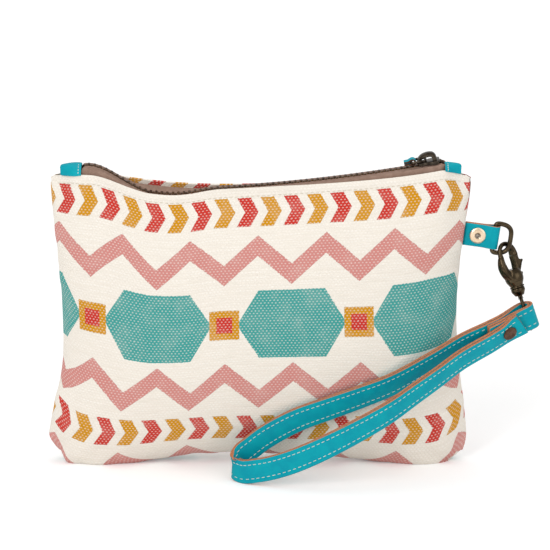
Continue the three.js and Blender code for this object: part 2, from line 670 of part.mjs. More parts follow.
function makeClaspBody() {
  const line = [vec(HOOK_HALF_WIDTH, 0, HOOK_TIP_Z)];
  for (let k = 0; k <= 10; k += 1) {
    const turn = degrees(18 * k);
    line.push(vec(HOOK_HALF_WIDTH * Math.cos(turn), 0, HOOK_BEND_Z + HOOK_HALF_WIDTH * Math.sin(turn)));
  }
  const sweep = new THREE.CubicBezierCurve3(
    vec(-HOOK_HALF_WIDTH, 0, HOOK_BEND_Z - 2), vec(-HOOK_HALF_WIDTH, 0, BARREL_TOP + 3),
    vec(-HOOK_HALF_WIDTH, 0, BARREL_TOP + 1), vec(-HOOK_BAR, 0, BARREL_TOP - HOOK_BAR));
  line.push(...sweep.getPoints(6));
  const hook = bar(line, HOOK_BAR / 2, 8, false, vec(0, 1, 0));
  const foot = BARREL_BOTTOM - GAP;
  const profile = [
    [0, BARREL_TOP], [BARREL_RADIUS * 0.75, BARREL_TOP], [BARREL_RADIUS, BARREL_TOP - 2.2],
    [BARREL_RADIUS, BARREL_TOP - 3.6], [COLLAR_RADIUS * 0.82, BARREL_BOTTOM],
    [COLLAR_RADIUS, foot], [COLLAR_RADIUS, foot - COLLAR_HEIGHT * 0.55],
    [COLLAR_RADIUS * 0.7, foot - COLLAR_HEIGHT], [0, foot - COLLAR_HEIGHT],
  ].map(([x, y]) => new THREE.Vector2(x, y)).reverse();
  const barrel = new THREE.LatheGeometry(profile, 16).rotateX(Math.PI / 2);
  const depth = TRIGGER_DEPTH + 2 * GAP;
  const slot = new THREE.BoxGeometry(BARREL_RADIUS * 2, depth, BARREL_RADIUS * 2);
  const slotLeft = TRIGGER_PIN_X - TRIGGER_BAR / 2 - 3 * GAP;
  slot.translate(slotLeft + BARREL_RADIUS, 0, TRIGGER_PIN_Z - TRIGGER_BAR + BARREL_RADIUS);
  const pinHole = rodAlongY(TRIGGER_PIN / 2 + GAP / 2, 4 * BARREL_RADIUS, TRIGGER_PIN_X, TRIGGER_PIN_Z);
  const bore = new THREE.CylinderGeometry(EYE_STEM / 2 + GAP, EYE_STEM / 2 + GAP, 2 * COLLAR_HEIGHT, 16);
  bore.rotateX(Math.PI / 2).translate(0, 0, foot - COLLAR_HEIGHT);
  const roomHeight = EYE_HEAD_HEIGHT + 2 * GAP;
  const room = new THREE.CylinderGeometry(EYE_HEAD / 2 + GAP, EYE_HEAD / 2 + GAP, roomHeight, 16);
  room.rotateX(Math.PI / 2).translate(0, 0, foot + EYE_HEAD_HEIGHT / 2);
  return piece('clasp_body', cut(join(hook, barrel), slot, pinHole, bore, room), BRONZE_MATERIAL);
}

// Trigger: a forked root on the pin, a gate that closes the hook, and a thumb piece outside
function makeTrigger() {
  const top = HOOK_TIP_Z - 3 * GAP - TRIGGER_PIN_Z;
  const half = TRIGGER_BAR / 2;
  const gate = HOOK_HALF_WIDTH - TRIGGER_PIN_X;
  const thumb = THUMB_REACH - TRIGGER_PIN_X;
  const outline = new THREE.Shape();
  outline.absarc(0, 0, half, Math.PI, 0, false);
  outline.quadraticCurveTo(half + 0.8, 2, gate + half, 3.6);
  outline.lineTo(thumb - 0.8, 5.4);
  outline.quadraticCurveTo(thumb + 0.3, 6, thumb - 0.4, 6.8);
  outline.quadraticCurveTo(gate + half + 1.2, 6.6, gate + half, 7.6);
  outline.lineTo(gate + half, top);
  outline.lineTo(gate - half, top);
  outline.quadraticCurveTo(gate - half, 3.4, -half, 0);
  const body = slab(outline.getPoints(8).slice(0, -1), TRIGGER_DEPTH);
  const pinHole = rodAlongY(TRIGGER_PIN / 2 + GAP / 2, 2 * TRIGGER_DEPTH, 0, 0);
  const room = SPRING_RADIUS + SPRING_WIRE / 2 + GAP;
  const width = SPRING_WIRE * (SPRING_TURNS + 2);
  const fork = new THREE.BoxGeometry(2 * room, width, 2 * room);
  return piece('clasp_trigger', cut(body, pinHole, fork), BRONZE_MATERIAL);
}

function makeTriggerPin() {
  const length = 2 * Math.sqrt(BARREL_RADIUS ** 2 - TRIGGER_PIN_X ** 2) - GAP;
  return piece('clasp_trigger_pin', rodAlongY(TRIGGER_PIN / 2, length, 0, 0), BRONZE_MATERIAL);
}

// A wound torsion spring on the pin, between the prongs of the trigger's root
function makeSpring() {
  const steps = 8 * SPRING_TURNS;
  const pitch = SPRING_WIRE * 1.25;
  const line = [];
  for (let k = 0; k <= steps; k += 1) {
    const turn = (2 * Math.PI * SPRING_TURNS * k) / steps;
    const y = pitch * SPRING_TURNS * (k / steps - 0.5);
    line.push(vec(SPRING_RADIUS * Math.cos(turn), y, SPRING_RADIUS * Math.sin(turn)));
  }
  return piece('clasp_spring', bar(line, SPRING_WIRE / 2, 5, false, vec(0, 1, 0)), BRONZE_MATERIAL);
}

// Swivel eye: a long loop under the collar. Its stem turns in the collar's bore.
const COLLAR_FOOT = BARREL_BOTTOM - GAP - COLLAR_HEIGHT;
const EYE_TOP = COLLAR_FOOT - EYE_NECK - EYE_WIRE / 2;
const EYE_LENGTH = STRAP_WIDTH + 2 * EYE_CORNER + 2 * GAP;
const EYE_BOTTOM = EYE_TOP - EYE_LENGTH;
const FOLD_Z = EYE_BOTTOM + EYE_CORNER + STRAP_WIDTH / 2;

function makeEye() {
  const line = [];
  const wide = EYE_HALF_WIDTH - EYE_CORNER;
  const corners = [
    [wide, EYE_TOP - EYE_CORNER, 0], [-wide, EYE_TOP - EYE_CORNER, 90],
    [-wide, EYE_BOTTOM + EYE_CORNER, 180], [wide, EYE_BOTTOM + EYE_CORNER, 270],
  ];
  for (const [y, z, from] of corners) {
    for (let k = 0; k <= 4; k += 1) {
      const turn = degrees(from + 22.5 * k);
      line.push(vec(0, y + EYE_CORNER * Math.cos(turn), z + EYE_CORNER * Math.sin(turn)));
    }
  }
  const loop = bar(line, EYE_WIRE / 2, 8, true, vec(1, 0, 0));
  const top = BARREL_BOTTOM - GAP + EYE_HEAD_HEIGHT / 2;
  const stem = new THREE.CylinderGeometry(EYE_STEM / 2, EYE_STEM / 2, top - EYE_TOP, 16);
  stem.rotateX(Math.PI / 2).translate(0, 0, (top + EYE_TOP) / 2);
  const head = new THREE.CylinderGeometry(EYE_HEAD / 2, EYE_HEAD / 2, EYE_HEAD_HEIGHT, 16);
  head.rotateX(Math.PI / 2).translate(0, 0, top);
  return piece('swivel_eye', join(loop, stem, head), BRONZE_MATERIAL);
}

// Wrist strap: two leather layers sewn together, from the cut end in front of the rivet, round
// the loop, back along the far side, round the eye and between the two runs to its tail

const STRAP_THICK = 2 * STRAP_LEATHER + GAP;

// The fold's frame: its middle, the way up the strap's width, the way left, and the way forward
function foldFrame(clasp) {
  const left = vec(-1, -STRAP_FORWARD, -STRAP_FALL).normalize();
  const middle = clasp.localToWorld(vec(0, -EYE_HALF_WIDTH, FOLD_Z)).addScaledVector(left, -STRAP_SLACK);
  const width = vec(0, 0, 1).transformDirection(clasp.matrixWorld).projectOnPlane(left).normalize();
  const front = vec(0, 0, 0).crossVectors(width, left).normalize();
  return { middle, width, left, front };
}

function strapLine(fold) {
  const turn = EYE_WIRE / 2 + GAP + STRAP_THICK / 2;
  const lay = (STRAP_THICK + GAP) / 2;
  const place = (run, out) => fold.middle.clone()
    .addScaledVector(fold.left, run).addScaledVector(fold.front, out);
  const low = (run, out) => place(run, out).addScaledVector(fold.width, -STRAP_NEAR_DROP);
  const rest = ([run, out, share], close) => {
    const x = fold.middle.x - run;
    const z = fold.middle.z * share;
    const clear = close ? bellyAt(x, z + STRAP_WIDTH / 4) + STRAP_THICK / 2 + 3 * GAP : 0;
    return vec(x, -Math.max(out, clear), z);
  };
  const long = [
    low(0, turn + STRAP_THICK + GAP), low(STRAP_TAIL / 2, 3 * lay + GAP), low(STRAP_TAIL, 3 * lay),
    ...NEAR_RUN.map((point) => rest(point, false)), rest(LOOP_TIP, false),
    ...FAR_RUN.map((point) => rest(point, true)),
    place(STRAP_TAIL, -lay), place(STRAP_TAIL / 2, -lay - GAP), place(0, -turn),
  ];
  const line = new THREE.CatmullRomCurve3(long, false, 'centripetal').getSpacedPoints(76);
  for (let k = 1; k < 8; k += 1) {
    const angle = degrees(22.5 * k);
    line.push(place(-turn * Math.sin(angle), -turn * Math.cos(angle)));
  }
  const tail = [place(0, turn), place(STRAP_TAIL / 2, lay + GAP), place(STRAP_TAIL, lay)];
  line.push(...new THREE.CatmullRomCurve3(tail, false, 'centripetal').getSpacedPoints(8));
  return line;
}

// The way up the strap's width at each point of its line: upright, and along the eye at the fold
function strapWidths(line, fold) {
  return line.map((point, i) => {
    const before = line[Math.max(i - 1, 0)];
    const after = line[Math.min(i + 1, line.length - 1)];
    const along = after.clone().sub(before).normalize();
    const near = 1 - ease((point.distanceTo(fold.middle) - STRAP_TAIL) / (2 * STRAP_TAIL));
    const up = vec(0, 0, 1).lerp(fold.width, near).projectOnPlane(along).normalize();
    return { along, up, out: vec(0, 0, 0).crossVectors(along, up) };
  });
}

function makeStrapLayer(name, line, frames, sign, rivetHole) {
  const face = (depth) => (i, j) => line[i].clone()
    .addScaledVector(frames[i].out, sign * depth)
    .addScaledVector(frames[i].up, (j - 0.5) * STRAP_WIDTH);
  const ribbon = sheet(line.length - 1, 1, face(GAP / 2), face(GAP / 2 + STRAP_LEATHER));
  return piece(name, cut(ribbon, rivetHole), LEATHER_MATERIAL);
}

// Assembly

const pouch = new THREE.Group();
pouch.add(
  makePanel('front_panel', -1), makePanel('back_panel', 1),
  makeLining('front_lining', -1), makeLining('back_lining', 1),
  makeTape('front_zip_tape', -1), makeTape('back_zip_tape', 1),
  makeTeeth('front_zip_teeth', -1), makeTeeth('back_zip_teeth', 1),
  makeEndTab('left_zip_tab', LEFT_TAB_X), makeEndTab('right_zip_tab', RIGHT_TAB_X),
);

const slider = new THREE.Group();
slider.position.set(SLIDER_X, 0, chainHeight(SLIDER_X));
slider.rotation.y = -Math.asin((SLIDER_X - ZIP_LOW_X) / ZIP_ARC_RADIUS);
slider.add(makeSlider());
const pull = new THREE.Group();
pull.position.set(BAIL_PIVOT_X, 0, BAIL_PIVOT_Z);
pull.rotation.y = degrees(PULL_TILT);
pull.add(makeBail(), makePullTab());
slider.add(pull);
pouch.add(slider);

const sideTab = new THREE.Group();
const tabShare = SIDE_TAB_Z / CORNER_HEIGHT;
sideTab.position.set(halfWidth(tabShare) + GAP, 0, SIDE_TAB_Z);
sideTab.rotation.y = degrees(SIDE_TAB_TILT);
const tabFace = GAP / 2 + SIDE_TAB_LEATHER;
const tabCap = makeRivetCap('side_tab_rivet_cap', RIVET_CAP, BRASS_MATERIAL);
tabCap.position.set(SIDE_RIVET_X, -tabFace - 2 * GAP, 0);
tabCap.rotation.x = Math.PI;
const tabShank = makeRivetShank('side_tab_rivet_post', 2 * tabFace + 2 * GAP, BRASS_MATERIAL);
tabShank.position.set(SIDE_RIVET_X, tabFace + GAP, 0);
tabShank.rotation.x = Math.PI;
sideTab.add(makeSideTab(), tabCap, tabShank);
pouch.add(sideTab);

const ring = new THREE.Group();
ring.position.set(SIDE_TAB_LENGTH, 0, 0);
ring.add(makeRing());
sideTab.add(ring);

const clasp = new THREE.Group();
pouch.updateMatrixWorld(true);
clasp.position.copy(ring.localToWorld(ringPoint(degrees(RING_SEAT_ANGLE))));
const hang = vec(Math.sin(degrees(CLASP_LEAN)), -Math.sin(degrees(CLASP_REACH)), 0);
hang.z = -Math.sqrt(1 - hang.x ** 2 - hang.y ** 2);
clasp.quaternion.setFromUnitVectors(vec(0, 0, -1), hang);
const hook = new THREE.Group();
hook.rotation.z = degrees(CLASP_TURN);
const trigger = new THREE.Group();
trigger.position.set(TRIGGER_PIN_X, 0, TRIGGER_PIN_Z);
trigger.add(makeTrigger(), makeTriggerPin(), makeSpring());
hook.add(makeClaspBody(), trigger);
clasp.add(hook, makeEye());
pouch.add(clasp);

pouch.updateMatrixWorld(true);
const fold = foldFrame(clasp);
const strapPath = strapLine(fold);
const strapFrames = strapWidths(strapPath, fold);
const strapRivet = new THREE.Group();
strapRivet.position.copy(fold.middle).addScaledVector(fold.left, STRAP_RIVET_RUN);
strapRivet.quaternion.setFromUnitVectors(vec(0, 1, 0), fold.front);
strapRivet.updateMatrix();
const stackFront = 2 * STRAP_THICK + 5 * GAP;
const stackBack = STRAP_THICK + 3 * GAP;
const holeRadius = RIVET_SHANK / 2 + GAP;
const holeLength = 2 * (stackFront + stackBack);
const rivetHole = new THREE.CylinderGeometry(holeRadius, holeRadius, holeLength, 16);
rivetHole.applyMatrix4(strapRivet.matrix);
pouch.add(
  makeStrapLayer('strap_outer_layer', strapPath, strapFrames, -1, rivetHole),
  makeStrapLayer('strap_inner_layer', strapPath, strapFrames, 1, rivetHole),
);
const strapCap = makeRivetCap('strap_rivet_cap', STRAP_RIVET_CAP, BRONZE_MATERIAL);
strapCap.position.set(0, stackFront, 0);
const strapShank = makeRivetShank('strap_rivet_post', stackFront + stackBack - GAP, BRONZE_MATERIAL);
strapShank.position.set(0, -stackBack, 0);
strapRivet.add(strapCap, strapShank);
pouch.add(strapRivet);

// The part's origin is on the floor under the middle of its box
pouch.updateMatrixWorld(true);
const box = new THREE.Box3().setFromObject(pouch, true);
pouch.position.set(-(box.min.x + box.max.x) / 2, -(box.min.y + box.max.y) / 2, -box.min.z);

export default pouch;
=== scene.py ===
"""Zip-top canvas wristlet pouch: printed canvas, metal zip, leather tabs and a wrist loop on a clasp.

Lengths are in millimetres in the pouch's own frame: x along the zip from its middle, y back from
the seam plane, z up from the floor. `to_part` moves them into the part's frame, in metres.
"""
import math

import bpy
import numpy as np
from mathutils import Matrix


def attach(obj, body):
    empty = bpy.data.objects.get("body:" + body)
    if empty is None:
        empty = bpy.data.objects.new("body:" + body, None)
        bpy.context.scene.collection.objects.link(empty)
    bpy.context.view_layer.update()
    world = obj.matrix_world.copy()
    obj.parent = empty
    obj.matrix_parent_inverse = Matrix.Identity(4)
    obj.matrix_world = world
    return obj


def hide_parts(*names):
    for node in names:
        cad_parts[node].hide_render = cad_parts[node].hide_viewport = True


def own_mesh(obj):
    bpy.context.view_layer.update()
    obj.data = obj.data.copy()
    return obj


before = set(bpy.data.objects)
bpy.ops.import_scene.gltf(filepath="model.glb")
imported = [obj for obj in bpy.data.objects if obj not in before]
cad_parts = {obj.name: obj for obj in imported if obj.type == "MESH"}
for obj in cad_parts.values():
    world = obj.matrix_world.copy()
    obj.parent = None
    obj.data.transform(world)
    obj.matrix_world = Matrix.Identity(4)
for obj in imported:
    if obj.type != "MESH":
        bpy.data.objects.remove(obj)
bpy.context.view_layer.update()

# Place of the pouch's own frame in the part's frame, and the least gap between pieces
PLACE = np.array([-18.158, 10.794, 0.0])
GAP = 0.3

# Pouch
BASE_HALF_WIDTH = 115.2
BASE_SHIFT = -1.4
TOP_HALF_WIDTH = 112.4
SIDE_DRAW = 6.6
CORNER_HEIGHT = 163.4
BELLY_DEPTH = 26.0
BELLY_LEVEL = 0.42
BELLY_SQUARE = 2.6
BASE_SQUARE = 1.6
TOP_SQUARE = 13
BASE_DRAW = 4.5
FOOT_PRESS = 7.0
FOOT_PLACE = 0.82
FOOT_SPREAD = 0.26
CORNER_LIFT = 3.0
CORNER_CUT = 2.5
CORNER_BAND = 0.08
LEFT_CORNER_CUT = 4.0
LEFT_DRAW = 2.2
LEFT_DRAW_LEVEL = 0.31
LEFT_DRAW_BAND = 0.15
SEAM_FLARE = {-1: 0.9, 1: 1.4}
FLARE_ACROSS = 0.8
FLARE_UP = 0.76
CORNER_ROUND = 2.4
CANVAS = 1.1
CANVAS_BEVEL = 0.25
LINING = 0.4
LINING_INSET = 2.4
LINING_DROP = 10.4

# Unevenness of the canvas: the size, number, least and greatest length of its waves
LUMPS = (0.55, 5, 70, 130)
SEAM_PUCKERS = (0.5, 4, 9, 20)
HEM_WAVES = (0.6, 4, 10, 24)
EDGE_WAVES = (0.3, 4, 14, 30)
SEAM_FADE = 9
HEM_FADE = 10
EDGE_FADE = 14
FOLD_SIZE = 0.9
FOLD_REACH = 34
FOLD_LENGTH = 19
FOLD_PHASE = 0.7
GROOVE_DEPTH = 0.6
GROOVE_HALF_WIDTH = 0.8
HELD_SEAM = 4
HELD_EDGE = 3

# Zip
ZIP_EDGE_DEPTH = 8.0
ZIP_LOW_X = -75.0
ZIP_LOW_Z = 152.5
ZIP_ARC_RADIUS = 930.0
ZIP_DIP = 2.2
ZIP_DIP_X = -20.0
ZIP_DIP_RUN = 50.0
ZIP_HUMP = 14.2
ZIP_HUMP_X = -58.0
ZIP_HUMP_RUN = 34.0
ZIP_END_X = 103.0
ZIP_END_DROP = 5.0
ZIP_END_RUN = 4.5
ZIP_DROP_LEFT_X = -94.0
ZIP_DROP_RIGHT_X = 98.5
TEETH_SPAN = (-94.0, 98.0)
CORNER_RUN = 16.0
EDGE_CORNER_Z = 161.9
CORNER_PINCH = 0.75
CORNER_PINCH_FROM = 0.87
CORNER_PINCH_RUN = 0.1
FRONT_LIP_LEFT = -3.0
FRONT_LIP_DIP = 1.9
FRONT_LIP_RIGHT = -2.4
FRONT_LIP_RISE = 1.0
BACK_LOW_X = -20.0
BACK_LOW_Z = 154.8
BACK_RISE = 10.5
BACK_HEM = 2.6
TAPE = 0.5
TAPE_TUCK = 7.0
TAPE_INSET = 1.8
TAPE_CLEAR = 0.35
TAPE_FOLD = 0.8
BEAD_FAR = 2.4
BEAD_IN = 0.15
BEAD_RADIUS = 0.62
TOOTH_PITCH = 3.0
TOOTH_HEIGHT = 2.4
TOOTH_WIDTH = 1.34
TOOTH_STEPS = np.array([BEAD_FAR + 0.1, BEAD_FAR - 0.1, 1.2, 0.6, -0.3, -0.65])
TOOTH_WIDE_SHARES = np.array([0.32, 0.5, 0.5, 0.46, 0.44, 0.3])
TOOTH_HIGH_SHARES = np.array([0.75, 1.0, 1.0, 0.95, 0.85, 0.5])
TOOTH_SPREAD = 1.5

# Zip slider and pull
SLIDER_X = 91.0
SLIDER_LENGTH = 12.0
SLIDER_END = 1.2
SLIDER_PLATE = 0.95
SLIDER_WALL = 0.8
RAIL_LEVEL = 1.25
RAIL_HALF_HEIGHT = 0.5
BRIDGE_WIDTH = 4.0
BRIDGE_HEIGHT = 4.7
BRIDGE_LENGTH = 11.2
BRIDGE_BAR = 2.6
BRIDGE_PEAK = 0.62
BRIDGE_SHIFT = -0.8
BAIL_WIRE = 1.4
BAIL_LENGTH = 7.7
BAIL_CORNER = 1.5
PULL_PIVOT_X = -1.5
PULL_TILT = -0.6
PULL_WIDTH = 5.0
PULL_LENGTH = 4.6
PULL_LEATHER = 0.95

# Leather tabs, side ring and rivets
END_TAB_LEATHER = 1.1
END_TAB_BEVEL = 0.3
END_TAB_CROWN = 1.1
END_TAB_BULGE = 0.5
END_TAB_FALL = 0.9
END_TAB_FALL_X = 97
END_TAB_FALL_RUN = 12
END_TAB_RIDGE = 2.4
END_TAB_ROUND = 1.3
END_TAB_OVER = 0.25
END_TAB_FOOT = {-1: 0.4, 1: 1.2}
LEFT_TAB_X = (-106.9, -95.6)
LEFT_TAB_SEAM_X = -97.1
RIGHT_TAB_X = (99.4, 108.2)
RIGHT_TAB_SEAM_X = 100.9
RIGHT_TAB_LOWER = 1.2
SIDE_TAB_Z = 129.4
SIDE_TAB_TILT = 8.0
SIDE_TAB_HEIGHT = 12.8
SIDE_TAB_LENGTH = 16.4
SIDE_TAB_LEATHER = 1.1
RING_WIRE = 2.6
RING_HALF_BAR = 8.6
RING_BOW = 9.0
RING_SQUARENESS = 3.2
RING_BOW_ANGLE = 82
RING_SEAT_ANGLE = -45.0
RING_TOP_FROM = 4.0
RING_TOP_SHARE = 0.84
SIDE_RIVET_X = 7.4
SIDE_RIVET_CAP = 8.8
STRAP_RIVET_CAP = 8.0
RIVET_CAP_RISE = 1.2
RIVET_BACK = 6.8
RIVET_BACK_RISE = 0.9
RIVET_SHANK = 2.0
RIVET_SEAT = 0.05

# Trigger clasp and swivel eye
CLASP_LEAN = 18.5
CLASP_REACH = 11.0
CLASP_TURN = 48.0
HOOK_BAR = 2.4
HOOK_HALF_WIDTH = 5.0
HOOK_BULGE = 1.9
HOOK_SWELL = 0.3
HOOK_LIFT = 0.1
HOOK_ROUND = 1.35
HOOK_SHARES = [0, 0.12, 0.35, 0.58, 0.68, 0.8, 1]
HOOK_THICK = [1.6, 1.5, 1.2, 1.1, 1.6, 1.9, 2.0]
HOOK_BROAD = [2.6, 2.1, 1.2, 1.1, 1.8, 2.5, 2.8]
HOOK_TIP_DROP = 2.0
BARREL_TOP = -11.5
BARREL_LIP = 1.0
BARREL_BOTTOM = -20.0
BARREL_RADIUS = 5.2
BARREL_ROUND = 2.2
COLLAR_RADIUS = 4.0
COLLAR_HEIGHT = 3.6
COLLAR_SKIRT = 1.5
TRIGGER_PIN = 1.6
TRIGGER_PIN_X = 3.2
TRIGGER_PIN_Z = -14.0
TRIGGER_DEPTH = 4.2
TRIGGER_BAR = 3.1
TRIGGER_EDGE = 0.45
THUMB_REACH = 9.4
SPRING_WIRE = 0.4
SPRING_PITCH = 1.25 * SPRING_WIRE
SPRING_RADIUS = 1.4
SPRING_TURNS = 2.5
EYE_WIRE = 2.0
EYE_HALF_WIDTH = 4.2
EYE_CORNER = 2.6
EYE_STEM = 2.6
EYE_NECK = 2.0
EYE_STEM_IN = 1.5
EYE_FOOT_RISE = 1.3

# Wrist strap: runs give the distances left of the fold and forward, and the share of its height
STRAP_WIDTH = 13.0
STRAP_LEATHER = 1.3
STRAP_THICK = 2 * STRAP_LEATHER + GAP
# How far the dark sheet of painted shade between the strap's layers is set in from their edges
STRAP_GAP_SHADE_INSET = 0.25
STRAP_TAIL = 24.0
STRAP_FALL = 0.35
STRAP_FORWARD = 0.45
STRAP_HOLLOW = 2.9
STRAP_PULL = 0.7
STRAP_NEAR_DROP = (-1.2, 2.0)
STRAP_NEAR_START = 6.0
STRAP_SKEW = 0.03
STRAP_RIVET_RUN = 14.0
STRAP_FOLD_TILT = 12.5
STRAP_LEAN = 40.0
STRAP_LEAN_RUN = (-3.0, 18.0)
STRAP_LEAN_FADE = 135.0
STRAP_STEP = 0.9
NEAR_RUN = [
    (35, 27.5, 0.774), (47, 31.8, 0.682), (59, 36, 0.593), (75, 41.8, 0.477), (100, 46, 0.320),
    (121, 46, 0.198), (134, 44, 0.134), (145, 41.5, 0.096), (153, 38, 0.076),
]
LOOP_TIP = (157.2, 33.5, 0.09)
FAR_RUN = [
    (154.4, 29.5, 0.135), (148.5, 28.3, 0.193), (140.5, 27.4, 0.262), (124.5, 27, 0.368),
    (107, 26.7, 0.447), (88, 26.4, 0.53), (72, 25.2, 0.604), (52, 22.4, 0.73), (36, 19.6, 0.838),
]

# Stitching: each thread's thickness and the rise of its arch
STITCH = 2.1
TAB_STITCH = 1.5
STITCH_PITCH = 2.9
EDGE_THREAD = (0.42, 0.1)
TAB_THREAD = (0.4, 0.2)
STRAP_THREAD = (0.36, 0.12)
TAB_THREAD_LIFT = 0.05
STRAP_THREAD_SINK = 0.05
EDGE_STITCH_DROP = 4.5
EDGE_STITCH_FROM = 6
STRAP_STITCH_INSET = 2.6
STRAP_STITCH_ENDS = (3.5, 3)


def to_part(points):
    """Points of the pouch's frame in millimetres, as points of the part's frame in metres."""
    return (np.asarray(points, float) + PLACE) * 0.001


def unit(vectors):
    """Vectors divided by their lengths."""
    vectors = np.asarray(vectors, float)
    return vectors / np.maximum(np.linalg.norm(vectors, axis=-1, keepdims=True), 1e-12)


def ease(t):
    """Rises from 0 to 1 with level ends: three times the square of t less twice its cube."""
    s = np.clip(t, 0, 1)
    return s * s * (3 - 2 * s)


def bell(t):
    """A bump of height 1 at 0 that dies away on both sides."""
    return np.exp(-(t ** 2))


def mix(a, b, t):
    """A share t of the way from a to b."""
    return a + (b - a) * t


def turned(angle, axis):
    """Rotation matrix for a right-hand turn in degrees about a coordinate axis, 0, 1 or 2."""
    c = math.cos(math.radians(angle))
    s = math.sin(math.radians(angle))
    i = (axis + 1) % 3
    j = (axis + 2) % 3
    matrix = np.eye(3)
    matrix[i, i] = matrix[j, j] = c
    matrix[j, i] = s
    matrix[i, j] = -s
    return matrix


def turn_onto(start, end):
    """Rotation matrix of the least turn that carries the unit vector start onto end."""
    axis = np.cross(start, end)
    cross = np.array([[0, -axis[2], axis[1]], [axis[2], 0, -axis[0]], [-axis[1], axis[0], 0]])
    return np.eye(3) + cross + cross @ cross / (1 + np.dot(start, end))


def carrier(matrix, place):
    """A function that carries points of a frame, given by its axes and place, to the pouch's frame."""
    return lambda points: np.asarray(points, float) @ matrix.T + place


def points_of(*coordinates):
    """Points from an array or a number for each of their coordinates."""
    return np.stack(np.broadcast_arrays(*coordinates), -1)


def arc(radius, start, end, steps):
    """Points on a circle between two angles in degrees."""
    turn = np.radians(np.linspace(start, end, steps))
    return radius * points_of(np.cos(turn), np.sin(turn))


def circle(radius, sides):
    """Points round a circle."""
    return arc(radius, 0, 360, sides + 1)[:-1]


def quadratic(first, pull, last, t):
    """Curve from first to last, drawn towards pull, at shares t of its way."""
    return (1 - t) ** 2 * np.asarray(first) + 2 * t * (1 - t) * np.asarray(pull) + t ** 2 * np.asarray(last)


def bezier(points, count):
    """Cubic curve from the first point to the last, drawn towards the two between."""
    p = [np.asarray(point, float) for point in points]
    t = np.linspace(0, 1, count)[:, None]
    return (1 - t) * quadratic(p[0], p[1], p[2], t) + t * quadratic(p[1], p[2], p[3], t)


def run_along(line):
    """Distances of a line's points from its start, along it."""
    return np.concatenate([[0], np.cumsum(np.linalg.norm(np.diff(line, axis=0), axis=-1))])


def sample(at, run, values):
    """Vectors given along a line, taken at distances along it."""
    return np.stack([np.interp(at, run, values[:, k]) for k in range(3)], -1)


# Meshes


def grid_faces(rows, columns, wrap_rows=False, wrap_columns=False):
    """Quads of a grid of points numbered row by row, joined round where a direction wraps."""
    i, j = np.meshgrid(
        np.arange(rows if wrap_rows else rows - 1),
        np.arange(columns if wrap_columns else columns - 1),
        indexing="ij",
    )
    down = (i + 1) % rows
    across = (j + 1) % columns
    quads = [i * columns + j, down * columns + j, down * columns + across, i * columns + across]
    return np.stack(quads, -1).reshape(-1, 4)


def tube_faces(count, ring, closed=False):
    """Faces of a tube of rings of points: quads, and two end caps unless it closes on itself."""
    faces = grid_faces(count, ring, closed, True).tolist()
    if not closed:
        faces.append(list(range(ring)))
        faces.append(list(range(count * ring - 1, (count - 1) * ring - 1, -1)))
    return faces


def repeated(faces, size, count):
    """The faces of a number of like shells of size points each, one after another."""
    return [[k + start for k in face] for start in range(0, count * size, size) for face in faces]


def volume_of(points, faces):
    """Signed volume of a closed shell: a sixth of the triple products of its fanned faces."""
    fans = np.array([(f[0], f[k], f[k + 1]) for f in faces for k in range(1, len(f) - 1)])
    return np.sum(points[fans[:, 0]] * np.cross(points[fans[:, 1]], points[fans[:, 2]])) / 6


class Shell:
    """Points and faces of one surface, with a material index for each face."""

    def __init__(self, points, faces, paint=0, closed=True):
        self.points = np.asarray(points, float).reshape(-1, 3)
        self.faces = [list(map(int, face)) for face in faces]
        self.paint = [paint] * len(self.faces) if np.isscalar(paint) else list(paint)
        if closed and volume_of(self.points, self.faces) < 0:
            self.faces = [face[::-1] for face in self.faces]


def sheet_shell(points, flip):
    """The open shell of a grid of points, with its faces turned over where flip is set."""
    faces = grid_faces(*points.shape[:2])
    return Shell(points, faces[:, ::-1] if flip else faces, closed=False)


def sweep(path, normals, section, closed=False, paint=None):
    """A section carried along a path. Its first coordinate runs along the tangent crossed with the
    normal and its second along the normal made square to the path. Open paths are capped, and where
    a paint is given for the section's sides, the caps have material 1."""
    count = len(path)
    if closed:
        tangent = unit(np.roll(path, -1, 0) - np.roll(path, 1, 0))
    else:
        tangent = unit(np.gradient(path, axis=0))
    side = unit(np.cross(tangent, normals))
    up = np.cross(side, tangent)
    section = np.broadcast_to(section, (count,) + np.shape(section)[-2:])
    points = path[:, None] + section[..., :1] * side[:, None] + section[..., 1:] * up[:, None]
    colours = 0 if paint is None else [*np.tile(paint, count - 1), 1, 1]
    return Shell(points, tube_faces(count, section.shape[1], closed), colours)


def rounded_box(half_wide, half_high, corner, steps=4):
    """Section of a bar: a rectangle whose corners are quarter circles. The half sizes may be
    arrays, which give one section for each entry."""
    turn = np.radians(np.linspace(0, 90, steps))
    turns = np.concatenate([turn + k * np.pi / 2 for k in range(4)])
    ways = np.repeat([[1, 1], [-1, 1], [-1, -1], [1, -1]], steps, 0)
    half = points_of(half_wide, half_high).astype(float)
    corner = np.minimum(corner, half.min(-1))[..., None, None]
    return ways * (half[..., None, :] - corner) + corner * points_of(np.cos(turns), np.sin(turns))


def rounded_loop(low, high, corner, steps):
    """Points round a rectangle between two opposite corners, its corners quarter circles."""
    middle = np.add(low, high) / 2
    half = np.subtract(high, low) / 2
    return middle + rounded_box(half[0], half[1], corner, steps)


def lathe(profile, place, matrix, sides=40):
    """A profile of radius and height turned about the z axis of a frame, closed at its poles."""
    profile = np.asarray(profile, float)
    disc = np.maximum(profile[:, 0], 1e-4)[:, None, None] * circle(1, sides)
    points = points_of(disc[..., 0], disc[..., 1], profile[:, 1:])
    return Shell(carrier(matrix, place)(points), tube_faces(len(profile), sides))


